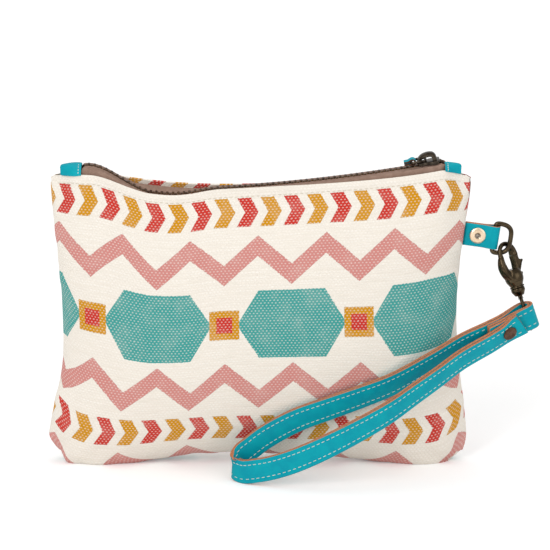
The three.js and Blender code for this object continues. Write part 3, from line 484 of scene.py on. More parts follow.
def rounded_profile(corners, radius, steps=5):
    """Polyline of radius and height with each inner corner replaced by a quadratic curve."""
    corners = np.asarray(corners, float)
    line = [corners[:1]]
    t = np.linspace(0, 1, steps)[:, None]
    for before, here, after in zip(corners[:-2], corners[1:-1], corners[2:]):
        reach = min(radius, np.linalg.norm(here - before) / 2, np.linalg.norm(after - here) / 2)
        first = here + unit(before - here) * reach
        last = here + unit(after - here) * reach
        line.append(quadratic(first, here, last, t))
    line.append(corners[-1:])
    return np.concatenate(line)


def plate(outline, depth, edge, place, matrix, steps=4):
    """A flat outline of x and z given thickness along y, its rim turned by quarter circles: each
    ring is the outline drawn in along its own normals and moved out to the face."""
    after = np.roll(outline, -1, 0)
    along = unit(after - np.roll(outline, 1, 0))
    inward = points_of(-along[:, 1], along[:, 0])
    inward *= np.sign(np.sum(outline[:, 0] * after[:, 1] - after[:, 0] * outline[:, 1]))
    rim = arc(edge, 90, 0, steps)
    draw = np.concatenate([edge - rim[:, 0], edge - rim[::-1, 0]])
    out = depth / 2 - edge + rim[:, 1]
    deep = np.concatenate([out, -out[::-1]])
    flat = outline + draw[:, None, None] * inward
    points = points_of(flat[..., 0], deep[:, None], flat[..., 1])
    return Shell(carrier(matrix, place)(points), tube_faces(len(draw), len(outline)))


def add_piece(name, shells, materials, body, nodes=(), uv=None, sharp=None):
    """One mesh object from shells, at the origin, riding on a body in place of CAD nodes."""
    points = np.concatenate([shell.points for shell in shells])
    faces = []
    paint = []
    start = 0
    for shell in shells:
        faces += [[k + start for k in face] for face in shell.faces]
        paint += shell.paint
        start += len(shell.points)
    mesh = bpy.data.meshes.new(name)
    mesh.from_pydata(to_part(points).tolist(), [], faces)
    mesh.polygons.foreach_set("material_index", np.array(paint, np.int32))
    mesh.polygons.foreach_set("use_smooth", np.ones(len(faces), bool))
    if uv is not None:
        corner = np.zeros(len(mesh.loops), np.int32)
        mesh.loops.foreach_get("vertex_index", corner)
        layer = mesh.uv_layers.new(name="Cloth")
        layer.data.foreach_set("uv", uv.reshape(-1, 2)[corner].ravel().astype(np.float32))
    for material in materials:
        mesh.materials.append(material)
    if sharp is not None:
        mesh.set_sharp_from_angle(angle=math.radians(sharp))
    mesh.update()
    piece = bpy.data.objects.new(name, mesh)
    bpy.context.scene.collection.objects.link(piece)
    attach(piece, body)
    if nodes:
        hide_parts(*nodes)
    return piece


def thicken(piece, thickness, bevel=None):
    """Gives a surface its thickness on the inner side, and may round its edges."""
    solid = piece.modifiers.new("thickness", "SOLIDIFY")
    solid.thickness = thickness * 0.001
    solid.offset = -1
    solid.thickness_clamp = 1.0
    if bevel:
        edge = piece.modifiers.new("edge", "BEVEL")
        edge.width = bevel * 0.001
        edge.segments = 2
        edge.limit_method = "ANGLE"
        edge.angle_limit = math.radians(50)


# Shader nodes


class Wire:
    """A node's output. Arithmetic on it adds Math nodes to its tree."""

    def __init__(self, socket):
        self.socket = socket
        self.tree = socket.id_data

    def math(self, operation, *others):
        """A Math node with this wire as its first value."""
        return Wire(add_node(self.tree, "Math", enumerate((self, *others)), operation=operation).outputs[0])

    def __add__(self, other):
        return self.math("ADD", other)

    def __sub__(self, other):
        return self.math("SUBTRACT", other)

    def __mul__(self, other):
        return self.math("MULTIPLY", other)

    def __truediv__(self, other):
        return self.math("DIVIDE", other)

    def __mod__(self, other):
        return self.math("MODULO", other)

    def __abs__(self):
        return self.math("ABSOLUTE")

    def scaled(self, *factors):
        """A vector's coordinates times three factors."""
        made = add_node(self.tree, "VectorMath", {0: self, 1: factors}, operation="MULTIPLY")
        return Wire(made.outputs["Vector"])

    def split(self):
        """A vector's first two coordinates."""
        made = add_node(self.tree, "SeparateXYZ", {0: self})
        return Wire(made.outputs[0]), Wire(made.outputs[1])


def feed(node, inputs):
    """Links a node's inputs to wires, or sets their constants."""
    for key, value in inputs.items():
        if isinstance(value, Wire):
            value.tree.links.new(value.socket, node.inputs[key])
        else:
            node.inputs[key].default_value = value


def add_node(tree, kind, inputs=(), **settings):
    """A shader node with its settings and inputs."""
    made = tree.nodes.new("ShaderNode" + kind)
    for label, value in settings.items():
        setattr(made, label, value)
    feed(made, dict(inputs))
    return made


def blend_colour(share, first, second):
    """A colour mix: the first at share 0, the second at 1."""
    made = add_node(share.tree, "Mix", data_type="RGBA")
    feed(made, {0: share, 6: first, 7: second})
    return Wire(made.outputs[2])


def ramp(value, low, high, out_low=0.0, out_high=1.0):
    """A smooth step of a value between two limits."""
    inputs = enumerate((value, low, high, out_low, out_high))
    return Wire(add_node(value.tree, "MapRange", inputs, interpolation_type="SMOOTHSTEP").outputs[0])


def noise(where, scale, detail=2.0, rough=0.5):
    """A Noise texture's value."""
    inputs = {"Vector": where, "Scale": scale, "Detail": detail, "Roughness": rough}
    return Wire(add_node(where.tree, "TexNoise", inputs).outputs[0])


def cells(where, scale, feature="F1"):
    """A Voronoi texture's distance."""
    made = add_node(where.tree, "TexVoronoi", feature=feature)
    feed(made, {"Vector": where, "Scale": scale})
    return Wire(made.outputs["Distance"])


def new_group(name, inputs, outputs):
    """An empty shader node group with named sockets: its input wires by name, and its output node."""
    tree = bpy.data.node_groups.new(name, "ShaderNodeTree")
    for way, sockets in (("INPUT", inputs), ("OUTPUT", outputs)):
        for label, kind in sockets.items():
            tree.interface.new_socket(name=label, in_out=way, socket_type="NodeSocket" + kind)
    given = tree.nodes.new("NodeGroupInput")
    return {label: Wire(given.outputs[label]) for label in inputs}, tree.nodes.new("NodeGroupOutput")


def place_group(group, where, **inputs):
    """Places a node group at a place on the surface; returns its output wires by name."""
    made = add_node(where.tree, "Group", node_tree=group)
    feed(made, {"Place": where, **inputs})
    return {out.name: Wire(out) for out in made.outputs}


def new_material(name, **sockets):
    """A Principled material with its constants, named with underscores for spaces, and its shader."""
    material = bpy.data.materials.new(name)
    material.use_nodes = True
    shader = next(n for n in material.node_tree.nodes if n.type == "BSDF_PRINCIPLED")
    feed(shader, {label.replace("_", " "): value for label, value in sockets.items()})
    return material, shader


def object_place(shader):
    """Object coordinates in millimetres."""
    source = add_node(shader.id_data, "TexCoord")
    return Wire(source.outputs["Object"]).scaled(1000.0, 1000.0, 1000.0)


def cloth_place(shader):
    """The cloth's own coordinates in millimetres, from its UV map."""
    source = add_node(shader.id_data, "UVMap", uv_map="Cloth")
    return Wire(source.outputs[0]).scaled(CLOTH_SPAN, CLOTH_SPAN, 1.0)


def bumped(shader, height, strength, distance):
    """Feeds a height to the shader's normal through a Bump node, with its distance in millimetres."""
    inputs = {"Strength": strength, "Distance": distance * 0.001, "Height": height}
    feed(shader, {"Normal": Wire(add_node(height.tree, "Bump", inputs).outputs["Normal"])})


# Cloth and print sizes
CLOTH_SPAN = 260.0
YARN_WIDE = 2.05
YARN_HIGH = 1.42
YARN_WOBBLE = 0.9
PRINT_REPEAT = 124.0
PRINT_EDGE = 0.18
PRINT_RAGGED = 0.9
FRONT_PRINT_MIDDLE = 92.5
BACK_PRINT_MIDDLE = 110.0
HEXAGON_PITCH = 74.0
HEXAGON_HALF_LONG = 30.0
HEXAGON_HALF_HIGH = 19.0
HEXAGON_SLOPE = 0.62
SQUARE_HALF = 8.2
HEART_HALF = 4.4
ZIGZAG_PITCH = 37.0
ZIGZAG_RISE = 16.0
ZIGZAG_AWAY = 35.5
ZIGZAG_HALF = 5.6
CHEVRON_PITCH = 12.6
CHEVRON_SLOPE = 0.55
CHEVRON_HALF_WIDE = 3.7
CHEVRON_HALF_HIGH = 8.0


def make_weave_group():
    """Plain weave of thick yarns: rows of floats, each row moved half a float along. Float is the
    roundness of a float at a place, and Crossing a dot at the middle of each float."""
    given, end = new_group(
        "Canvas weave", {"Place": "Vector", "Wide": "Float", "High": "Float"},
        {"Float": "Float", "Crossing": "Float"},
    )
    x, y = given["Place"].split()
    wobble = (noise(given["Place"], 0.35) - 0.5) * YARN_WOBBLE
    row = (y + wobble) / given["High"]
    odd = row.math("FLOOR") % 2.0
    column = (x + wobble) / given["Wide"] + odd * 0.5
    across = column.math("FRACT") - 0.5
    up = row.math("FRACT") - 0.5
    reach = across * across + up * up
    feed(end, {"Float": ramp(reach, 0.25, 0.0), "Crossing": ramp(reach, 0.085, 0.03)})
    return end.id_data


def make_print_group():
    """Printed bands, repeated up the cloth: long hexagons with nested squares between them, zigzags
    above and below, and a row of chevrons in two colours. Each mask compares a distance from the
    motif's middle with its half size."""
    inks = {"Ink " + letter: "Color" for letter in "ABCD"}
    given, end = new_group(
        "Printed bands", {"Place": "Vector", "Middle": "Float", **inks}, {"Ink": "Color", "Mask": "Float"},
    )
    x, y = given["Place"].split()
    shift = (noise(given["Place"], 1.1, 1.0) - 0.5) * PRINT_RAGGED
    u = x + shift
    v = y - given["Middle"] + shift

    def beat(value, period, offset=0.0):
        """Distance to the nearest multiple of a period, moved by an offset."""
        share = (value - offset) / period + 0.5
        return abs((share.math("FRACT") - 0.5) * period)

    def inside(distance, limit):
        return ramp(distance, limit + PRINT_EDGE, limit - PRINT_EDGE)

    row = beat(v, PRINT_REPEAT)
    slope = beat(u, HEXAGON_PITCH) + row * HEXAGON_SLOPE
    hexagon = inside(slope, HEXAGON_HALF_LONG) * inside(row, HEXAGON_HALF_HIGH)
    nested = beat(u, HEXAGON_PITCH, HEXAGON_PITCH / 2).math("MAXIMUM", row)
    square = inside(nested, SQUARE_HALF)
    heart = inside(nested, HEART_HALF)
    peak = beat(u, ZIGZAG_PITCH, ZIGZAG_PITCH / 2) * (2 * ZIGZAG_RISE / ZIGZAG_PITCH) - ZIGZAG_RISE / 2
    zigzag = inside(abs(row - ZIGZAG_AWAY + peak), ZIGZAG_HALF)
    last = beat(v, PRINT_REPEAT, PRINT_REPEAT / 2)
    lean = u + last * CHEVRON_SLOPE
    chevron = inside(beat(lean, CHEVRON_PITCH), CHEVRON_HALF_WIDE) * inside(last, CHEVRON_HALF_HIGH)
    second = abs((lean / CHEVRON_PITCH + 0.5).math("FLOOR") % 2.0)
    ink = blend_colour(zigzag, given["Ink A"], given["Ink B"])
    ink = blend_colour(square, ink, given["Ink D"])
    ink = blend_colour(heart, ink, given["Ink C"])
    ink = blend_colour(chevron, ink, blend_colour(second, given["Ink C"], given["Ink D"]))
    mask = hexagon
    for other in (zigzag, square, chevron):
        mask = mask.math("MAXIMUM", other)
    feed(end, {"Ink": ink, "Mask": mask})
    return end.id_data


def make_grain_group():
    """Fine leather grain: cells of two sizes and a slow mottle. Grain is a height, Mottle a share."""
    given, end = new_group("Leather grain", {"Place": "Vector"}, {"Grain": "Float", "Mottle": "Float"})
    where = given["Place"]
    fine = ramp(cells(where, 1.9, "DISTANCE_TO_EDGE"), 0.0, 0.28)
    mottle = ramp(noise(where, 0.12, 4.0, 0.6), 0.3, 0.7)
    feed(end, {"Grain": fine * 0.7 + noise(where, 0.9, 3.0), "Mottle": mottle})
    return end.id_data


def make_patina_group():
    """Antique finish: broad clouds of tone and fine pitting. Tone is a share, Pit a height."""
    given, end = new_group("Patina", {"Place": "Vector"}, {"Tone": "Float", "Pit": "Float"})
    tone = ramp(noise(given["Place"], 0.24, 3.0, 0.5), 0.3, 0.7)
    feed(end, {"Tone": tone, "Pit": noise(given["Place"], 3.2, 3.0, 0.6)})
    return end.id_data


# Materials


def linear(red, green, blue):
    """A display colour of 0 to 255 as linear light, with an alpha of 1."""
    share = np.array([red, green, blue]) / 255
    light = np.where(share <= 0.04045, share / 12.92, ((share + 0.055) / 1.055) ** 2.4)
    return (*light.tolist(), 1.0)


WEAVE = make_weave_group()
PRINT = make_print_group()
GRAIN = make_grain_group()
PATINA = make_patina_group()

CREAM = linear(245, 240, 233)
CREAM_STREAK = linear(236, 228, 218)
CREAM_ROW = linear(226, 217, 204)
# Painted shade: the cloth's colour in the hollows between the yarn floats
CREAM_GAP_SHADE = linear(233, 225, 213)
FLECK = linear(120, 105, 90)
INKS = {
    "Ink A": linear(64, 154, 148), "Ink B": linear(204, 134, 127),
    "Ink C": linear(197, 51, 40), "Ink D": linear(203, 140, 2),
}
THREAD_SHADE = linear(214, 212, 200)


def make_canvas(name, middle):
    """Natural canvas with a screen print: ink sits on the yarns and thins at the middle of each
    float, and the bare cloth has faint rows of yarn, a few dark flecks and painted shade in the
    gaps between its floats."""
    material, shader = new_material(name, Roughness=0.9, Sheen_Weight=0.08, Specular_IOR_Level=0.2)
    where = cloth_place(shader)
    weave = place_group(WEAVE, where, Wide=YARN_WIDE, High=YARN_HIGH)
    inks = place_group(PRINT, where, Middle=middle, **INKS)
    streak = noise(where.scaled(0.1, 0.62, 1.0), 1.0, 3.0)
    cloth = blend_colour(ramp(streak, 0.35, 0.7), CREAM, CREAM_STREAK)
    rows = noise(where.scaled(0.05, 1.0 / YARN_HIGH, 1.0), 1.0, 1.0)
    cloth = blend_colour(ramp(rows, 0.52, 0.7, 0.0, 0.7), cloth, CREAM_ROW)
    # Painted shade: the cloth turns darker in the gaps between the floats, where the weave's bump is low
    cloth = blend_colour(weave["Float"] * 0.6, CREAM_GAP_SHADE, cloth)
    fleck = ramp(cells(where, 0.055), 0.016, 0.008)
    cloth = blend_colour(fleck * 0.65, cloth, FLECK)
    cover = inks["Mask"] * ramp(noise(where, 0.08, 4.0, 0.6), 0.2, 0.6, 0.86, 1.0)
    thinned = weave["Crossing"] * -0.46 + 1.0
    feed(shader, {"Base Color": blend_colour(cover * thinned, cloth, inks["Ink"])})
    slub = noise(where.scaled(0.5, 2.4, 1.0), 1.0, 2.0)
    bumped(shader, weave["Float"] + slub * 0.4, 0.5, 0.25)
    return material


def make_plain_cloth(name, colour, shade, wide, high, strength):
    """A plain woven cloth on Object coordinates."""
    material, shader = new_material(name, Roughness=0.9, Specular_IOR_Level=0.2)
    where = object_place(shader)
    weave = place_group(WEAVE, where, Wide=wide, High=high)
    feed(shader, {"Base Color": blend_colour(ramp(noise(where, 0.35, 3.0), 0.3, 0.7), colour, shade)})
    bumped(shader, weave["Float"], strength, 0.12)
    return material


def make_leather(name, colour, shade):
    """Finished leather: a coloured coat with fine grain and a slow mottle."""
    material, shader = new_material(name, Specular_IOR_Level=0.12)
    grain = place_group(GRAIN, object_place(shader))
    feed(shader, {"Base Color": blend_colour(grain["Mottle"], colour, shade)})
    feed(shader, {"Roughness": ramp(grain["Grain"], 0.3, 1.3, 0.54, 0.42)})
    bumped(shader, grain["Grain"], 0.25, 0.06)
    return material


def make_metal(name, dark, light, rough_low, rough_high):
    """Plated metal with an antique tone: clouds of dark and worn plating, with fine pits."""
    material, shader = new_material(name, Metallic=1.0)
    patina = place_group(PATINA, object_place(shader))
    feed(shader, {"Base Color": blend_colour(patina["Tone"], dark, light)})
    feed(shader, {"Roughness": ramp(patina["Pit"], 0.3, 0.7, rough_low, rough_high)})
    bumped(shader, patina["Pit"], 0.06, 0.02)
    return material


def make_fibres(name, first, second, texture, bump, **sockets):
    """A fibrous surface: a noise that blends two colours and raises the fibres."""
    material, shader = new_material(name, **sockets)
    fibre = noise(object_place(shader), *texture)
    feed(shader, {"Base Color": blend_colour(ramp(fibre, 0.3, 0.7), first, second)})
    bumped(shader, fibre, *bump)
    return material


def make_raw_edge(name, pale, deep):
    """Cut edge of leather: open fibres."""
    return make_fibres(
        name, pale, deep, (1.6, 4.0, 0.7), (0.4, 0.12), Roughness=0.85, Specular_IOR_Level=0.15)


def make_thread(name, colour):
    """Sewing thread: fine, soft fibres."""
    return make_fibres(
        name, colour, THREAD_SHADE, (4.0, 2.0), (0.5, 0.1), Roughness=0.75, Specular_IOR_Level=0.3)


CANVAS_CLOTH = {
    -1: make_canvas("front canvas print", FRONT_PRINT_MIDDLE),
    1: make_canvas("back canvas print", BACK_PRINT_MIDDLE),
}
LINING_CLOTH = make_plain_cloth("lining cloth", linear(232, 224, 208), linear(222, 212, 196), 0.8, 0.8, 0.3)
TAPE_CLOTH = make_plain_cloth("zip tape", linear(150, 124, 110), linear(138, 112, 98), 0.9, 0.7, 0.5)
LEATHER = make_leather("turquoise leather", linear(0, 160, 173), linear(0, 148, 166))
RAW_EDGE = make_raw_edge("raw leather edge", linear(202, 136, 96), linear(156, 93, 60))
# Painted shade: a darker copy of the raw leather edge, for cut edges that lie in shade
SHADED_EDGE = make_raw_edge("shaded leather edge", linear(92, 66, 50), linear(58, 40, 31))
BRONZE = make_metal("antique bronze", linear(60, 51, 39), linear(94, 81, 62), 0.16, 0.24)
ZIP_METAL = make_metal("brown zip metal", linear(62, 44, 31), linear(102, 78, 58), 0.32, 0.46)
SLIDER_METAL = make_metal("dark slider metal", linear(46, 40, 34), linear(92, 83, 72), 0.2, 0.32)
RIVET_METAL = make_metal("brown rivet metal", linear(78, 57, 46), linear(118, 91, 76), 0.3, 0.44)
BRASS = make_metal("pale brass", linear(244, 214, 178), linear(252, 230, 202), 0.26, 0.36)
STEEL = make_metal("rivet post", linear(110, 100, 88), linear(160, 150, 138), 0.3, 0.42)
THREAD_WHITE = make_thread("white thread", linear(224, 224, 204))
THREAD_CREAM = make_thread("cream thread", linear(206, 190, 167))


# Pouch surface


FACE = {-1: "front", 1: "back"}


def half_width(b):
    """Half width of the pouch at a share b of its height: it draws in at the middle."""
    draw = SIDE_DRAW * np.sin(np.pi * np.clip(b, 0, 1)) ** 1.6
    return mix(BASE_HALF_WIDTH, TOP_HALF_WIDTH, b) - draw - CORNER_CUT * corner_share(b)


def corner_share(b):
    """Falls from 1 at the base to 0 above the bottom corners."""
    return (1 - np.clip(b / CORNER_BAND, 0, 1)) ** 2


def base_height(a):
    """Height of the bottom seam: drawn up in the middle, pressed at the feet, lifted at corners."""
    foot = bell((np.abs(a) - FOOT_PLACE) / FOOT_SPREAD)
    corner = ease((np.abs(a) - FOOT_PLACE) / (1 - FOOT_PLACE))
    middle = BASE_DRAW * (1 - np.clip(np.abs(a) / FOOT_PLACE, 0, 1) ** 2)
    return middle - FOOT_PRESS * foot + (CORNER_LIFT + FOOT_PRESS) * corner ** 2


def chain_height(x):
    """Height of the zip chain: the chain's run with a drop at each end."""
    end = ease(np.maximum(ZIP_DROP_LEFT_X - x, x - ZIP_DROP_RIGHT_X) / ZIP_END_RUN)
    return chain_run(x) - ZIP_END_DROP * end


def chain_run(x):
    """Height of the zip without its turned-down ends: an arc with a dip and a hump at the left."""
    rise = ZIP_ARC_RADIUS - np.sqrt(ZIP_ARC_RADIUS ** 2 - (x - ZIP_LOW_X) ** 2)
    dip = np.sin(np.pi * np.clip((ZIP_DIP_X - x) / ZIP_DIP_RUN, 0, 1)) ** 2
    return ZIP_LOW_Z + rise - ZIP_DIP * dip + ZIP_HUMP * ease((ZIP_HUMP_X - x) / ZIP_HUMP_RUN)


def edge_height(side, x):
    """Height of the canvas edge beside the zip, on the front (side -1) or the back (side 1)."""
    if side < 0:
        left = mix(FRONT_LIP_DIP, FRONT_LIP_LEFT, ease((ZIP_HUMP_X - x) / ZIP_HUMP_RUN))
        share = np.clip((x - ZIP_HUMP_X) / (ZIP_END_X - ZIP_HUMP_X), 0, 1)
        right = mix(FRONT_LIP_DIP, FRONT_LIP_RIGHT, ease(share))
        right = right + FRONT_LIP_RISE * np.sin(np.pi * share) ** 2
        edge = chain_run(x) + np.where(x < ZIP_HUMP_X, left, right)
    else:
        span = np.where(x < BACK_LOW_X, BACK_LOW_X + ZIP_END_X, ZIP_END_X - BACK_LOW_X)
        edge = BACK_LOW_Z + BACK_RISE * ((x - BACK_LOW_X) / span) ** 2
    corner = ease((np.abs(x) - TOP_HALF_WIDTH + CORNER_RUN) / CORNER_RUN)
    return mix(edge, EDGE_CORNER_Z, corner)


def depth_at(a, b):
    """Half depth of the stuffed pouch at a share across, -1 to 1, and up, 0 to 1: an ellipse below
    the belly, a slope to the zip above it, and a rounded square across."""
    square = BELLY_SQUARE + BASE_SQUARE * (1 - b) ** 4 + TOP_SQUARE * b ** 6
    across = np.sqrt(np.maximum(0, 1 - np.abs(a) ** square))
    below = np.sqrt(np.maximum(0, 1 - ((BELLY_LEVEL - b) / BELLY_LEVEL) ** 2))
    rise = np.maximum(0, (b - BELLY_LEVEL) / (1 - BELLY_LEVEL))
    above = 1 - (1 - ZIP_EDGE_DEPTH / BELLY_DEPTH) * rise ** 1.8
    corner = ease((np.abs(a) - CORNER_PINCH_FROM) / CORNER_PINCH_RUN)
    pinch = 1 - CORNER_PINCH * corner * np.clip(b, 0, 1) ** 10
    return BELLY_DEPTH * across * pinch * np.where(b < BELLY_LEVEL, below, above)


def wall_point(side, inset, a, b):
    """A point of the pouch wall on one side, set in from the outer face."""
    x = (half_width(b) - inset) * a + BASE_SHIFT * (1 - b) ** 2
    z = mix(base_height(a), edge_height(side, TOP_HALF_WIDTH * a), b)
    z = np.maximum(z + inset * (1 - np.clip(b / BELLY_LEVEL, 0, 1)), inset)
    depth = depth_at(a, b)
    inner = depth - inset * (1 - np.exp(-depth / max(inset, 1e-6)))
    return points_of(x, side * (GAP / 2 + inner), z)


def wall_share(side, a, height):
    """Share of the wall's height that lies below a height."""
    base = base_height(a)
    return (height - base) / (edge_height(side, TOP_HALF_WIDTH * a) - base)


def chain_share(side, a):
    """Share of the wall's height at which it stands level with the zip chain, at most 1."""
    return np.minimum(1, wall_share(side, a, chain_height(TOP_HALF_WIDTH * a)))


def belly_at(x, z):
    """Half depth of the pouch's front face at a place in front of it, by four passes."""
    b = np.clip(z / CORNER_HEIGHT, 0, 1)
    for _ in range(4):
        a = np.clip((x - BASE_SHIFT * (1 - b) ** 2) / half_width(b), -1, 1)
        b = np.clip(wall_share(-1, a, z), 0, 1)
    return depth_at(a, b)


def surface_normals(points):
    """Unit normals of a grid of points: the cross product of its two directions."""
    return unit(np.cross(np.gradient(points, axis=1), np.gradient(points, axis=0)))


def waves(seed, u, v, size, count, low, high):
    """A seeded sum of plane waves of about a given size, with lengths between low and high."""
    rng = np.random.default_rng(seed)
    total = np.zeros(np.broadcast(u, v).shape)
    for _ in range(count):
        length = rng.uniform(low, high)
        way = rng.uniform(0, 2 * np.pi)
        along = u * math.cos(way) + v * math.sin(way)
        total += np.sin(2 * np.pi * along / length + rng.uniform(0, 6.28))
    return size * total / math.sqrt(count)


def cloth_lengths(points):
    """Places on the flat cloth in millimetres: shares of the arc lengths across and up, times the
    mean lengths, so that the print runs level and meets both side seams alike."""
    across = np.linalg.norm(np.diff(points, axis=0), axis=-1)
    u = np.concatenate([np.zeros((1, points.shape[1])), np.cumsum(across, 0)])
    up = np.linalg.norm(np.diff(points, axis=1), axis=-1)
    v = np.concatenate([np.zeros((points.shape[0], 1)), np.cumsum(up, 1)], 1)
    return (u / u[-1:] - 0.5) * u[-1].mean(), v / v[:, -1:] * v[:, -1].mean()


def across_shares(count):
    """Shares across the pouch from seam to seam, closer together near the seams, as a column."""
    return np.sin(np.pi / 2 * np.linspace(-1, 1, count))[:, None]


def up_shares(count):
    """Shares from 0 to 1, closer together near 0, as a row."""
    return (1 - np.cos(np.pi / 2 * np.linspace(0, 1, count)))[None]


def canvas_surface(side, columns, rows):
    """The stuffed canvas: the pouch wall with soft lumps, puckers that fade away from the seams,
    slanting folds at the bottom corners and a groove along the top stitching. Returns its points,
    their normals, their places on the flat cloth and their distances below the top edge."""
    a = across_shares(columns)
    b = mix(up_shares(rows), np.linspace(0, 1, rows)[None], 0.55)
    points = wall_point(side, 0, a, b)
    left = np.clip(-a, 0, 1)
    waist = LEFT_DRAW * bell((b - LEFT_DRAW_LEVEL) / LEFT_DRAW_BAND) * left ** 3
    cut = LEFT_CORNER_CUT * corner_share(b) * left ** 8
    flare = ease((b - FLARE_UP) / (1 - FLARE_UP)) * np.clip((a - FLARE_ACROSS) / (1 - FLARE_ACROSS), 0, 1)
    points[..., 0] += waist + cut + SEAM_FLARE[side] * flare
    near = np.clip(1 - (1 - b) * CORNER_HEIGHT / CORNER_ROUND, 0, 1)
    points[..., 0] -= np.sign(a) * np.abs(a) ** 12 * CORNER_ROUND * (1 - np.sqrt(1 - near ** 2))
    u, v = cloth_lengths(points)
    seed = 11 if side < 0 else 29
    drop = v[:, -1:] - v
    seam = np.minimum(u - u[:1], u[-1:] - u)
    shift = waves(seed, u, v, *LUMPS)
    shift += waves(seed + 1, 0.2 * u, v, *SEAM_PUCKERS) * np.exp(-seam / SEAM_FADE)
    shift += waves(seed + 2, u, 0.2 * v, *HEM_WAVES) * np.exp(-v / HEM_FADE)
    shift += waves(seed + 3, u, 0.3 * v, *EDGE_WAVES) * np.exp(-drop / EDGE_FADE)
    fold = np.sin(2 * np.pi * (seam - v) / FOLD_LENGTH + np.sign(u) * FOLD_PHASE)
    shift += FOLD_SIZE * bell(np.hypot(seam, v) / FOLD_REACH) * fold
    shift *= ease(seam / HELD_SEAM) * ease(v / HELD_SEAM) * ease(drop / HELD_EDGE)
    shift -= GROOVE_DEPTH * bell((drop - EDGE_STITCH_DROP) / GROOVE_HALF_WIDTH)
    normal = -side * surface_normals(points)
    normal = normal * np.sign(side * normal[..., 1:2] + 1e-9)
    points = points + shift[..., None] * normal
    points[..., 2] = np.maximum(points[..., 2], 0.02)
    points[..., 1] = side * np.maximum(side * points[..., 1], GAP / 2)
    return points, normal, u, v, drop


def stitches(middle, along, out, length, thick, rise):
    """Stitches as short threads: each follows a low arch whose ends dip under the surface, with a
    round section that narrows at the ends."""
    stations = 7
    sides = 6
    t = np.linspace(-1, 1, stations)
    radius = thick / 2 * np.sqrt(np.maximum(1 - np.abs(t) ** 6, 0.12))
    arch = rise * (1 - t ** 2) - 0.35 * thick * t ** 6
    centre = middle[:, None] + along[:, None] * (t * length / 2)[:, None] + out[:, None] * arch[:, None]
    axes = np.stack([np.cross(along, out), out], 1)
    ring = circle(1, sides) @ axes
    points = centre[:, :, None] + ring[:, None] * radius[:, None, None]
    return Shell(points, repeated(tube_faces(stations, sides), stations * sides, len(middle)))


def make_panel(side):
    """A canvas panel and the line of stitches along its top edge."""
    name = FACE[side] + "_canvas"
    points, normal, u, v, drop = canvas_surface(side, 241, 141)
    uv = points_of(u / CLOTH_SPAN + 0.5, v / CLOTH_SPAN)
    shell = sheet_shell(points, side > 0)
    panel = add_piece(name, [shell], [CANVAS_CLOTH[side]], "pouch", [FACE[side] + "_panel"], uv)
    thicken(panel, CANVAS, CANVAS_BEVEL)
    row = np.argmin(np.abs(drop - EDGE_STITCH_DROP), 1)
    column = np.arange(len(points))
    line = points[column, row]
    run = run_along(line)
    at = np.arange(EDGE_STITCH_FROM, run[-1] - EDGE_STITCH_FROM, STITCH_PITCH)
    middle = sample(at, run, line)
    along = unit(sample(at + 0.5, run, line) - middle)
    thread = stitches(middle, along, unit(sample(at, run, normal[column, row])), STITCH, *EDGE_THREAD)
    seam = add_piece(name + "_stitching", [thread], [THREAD_CREAM], "pouch")


def make_lining(side):
    """The lining: the pouch wall set in behind the canvas, ending under the zip tape."""
    a = across_shares(61)
    b = (chain_share(side, a) - LINING_DROP / CORNER_HEIGHT) * up_shares(41)
    points = wall_point(side, LINING_INSET, a, b)
    shell = sheet_shell(points, side > 0)
    name = FACE[side] + "_lining"
    lining = add_piece(name + "_cloth", [shell], [LINING_CLOTH], "pouch", [name])
    thicken(lining, LINING)


# Zip


def spread_at(x):
    """How far the rows of teeth stand apart: closed left of the slider, open to its right."""
    return TOOTH_SPREAD * ease((x - SLIDER_X + SLIDER_LENGTH / 4) / (SLIDER_LENGTH / 2))


def chain_frame(x):
    """Point on the chain's middle line, its direction and its upward normal at x."""
    slope = (chain_height(x + 0.1) - chain_height(x - 0.1)) / 0.2
    along = unit(points_of(1, 0, slope))
    up = points_of(-along[..., 2], 0, along[..., 0])
    return points_of(x, 0, chain_height(x)), along, up


def make_tape(side):
    """Woven tape: from the bead beside the teeth to the canvas, sloping up to its hem where the
    canvas stands higher, then down behind it, with a bead along the edge that holds the teeth."""
    end = (ZIP_END_X + GAP) / TOP_HALF_WIDTH
    a = np.linspace(-end, end, 261)
    share = chain_share(side, a)
    if side > 0:
        share = np.maximum(share, wall_share(side, a, edge_height(side, TOP_HALF_WIDTH * a) - BACK_HEM))
    bend = wall_point(side, TAPE_INSET, a, share)
    inner = BEAD_FAR + TAPE_CLEAR + spread_at(bend[:, :1])
    level = chain_height(bend[:, :1]) + TAPE / 2
    corner = bend.copy()
    corner[:, 2:] = np.maximum(bend[:, 2:], level)
    t = np.linspace(0, 1, 10)
    across = side * mix(inner, np.abs(bend[:, 1:2]) - TAPE_FOLD, t)
    flat = points_of(bend[:, :1], across, mix(level, corner[:, 2:], t ** 1.5))
    down = (TAPE_FOLD + np.linspace(0, 1, 8) * TAPE_TUCK) / CORNER_HEIGHT
    low = wall_point(side, TAPE_INSET, a[:, None], share[:, None] - down)
    s = np.linspace(0.2, 0.8, 4)[None, :, None]
    curve = quadratic(flat[:, -1:], corner[:, None], low[:, :1], s)
    points = np.concatenate([flat, curve, low], 1)
    name = FACE[side] + "_tape"
    shell = sheet_shell(points, side < 0)
    tape = add_piece(name, [shell], [TAPE_CLOTH], "pouch", [FACE[side] + "_zip_tape"])
    thicken(tape, TAPE)
    x = np.linspace(*TEETH_SPAN, 260)
    centre, along, up = chain_frame(x)
    centre[:, 1] = side * (BEAD_FAR - BEAD_IN + spread_at(x))
    cord = sweep(centre, up, circle(BEAD_RADIUS, 10))
    bead = add_piece(name + "_bead", [cord], [TAPE_CLOTH], "pouch")


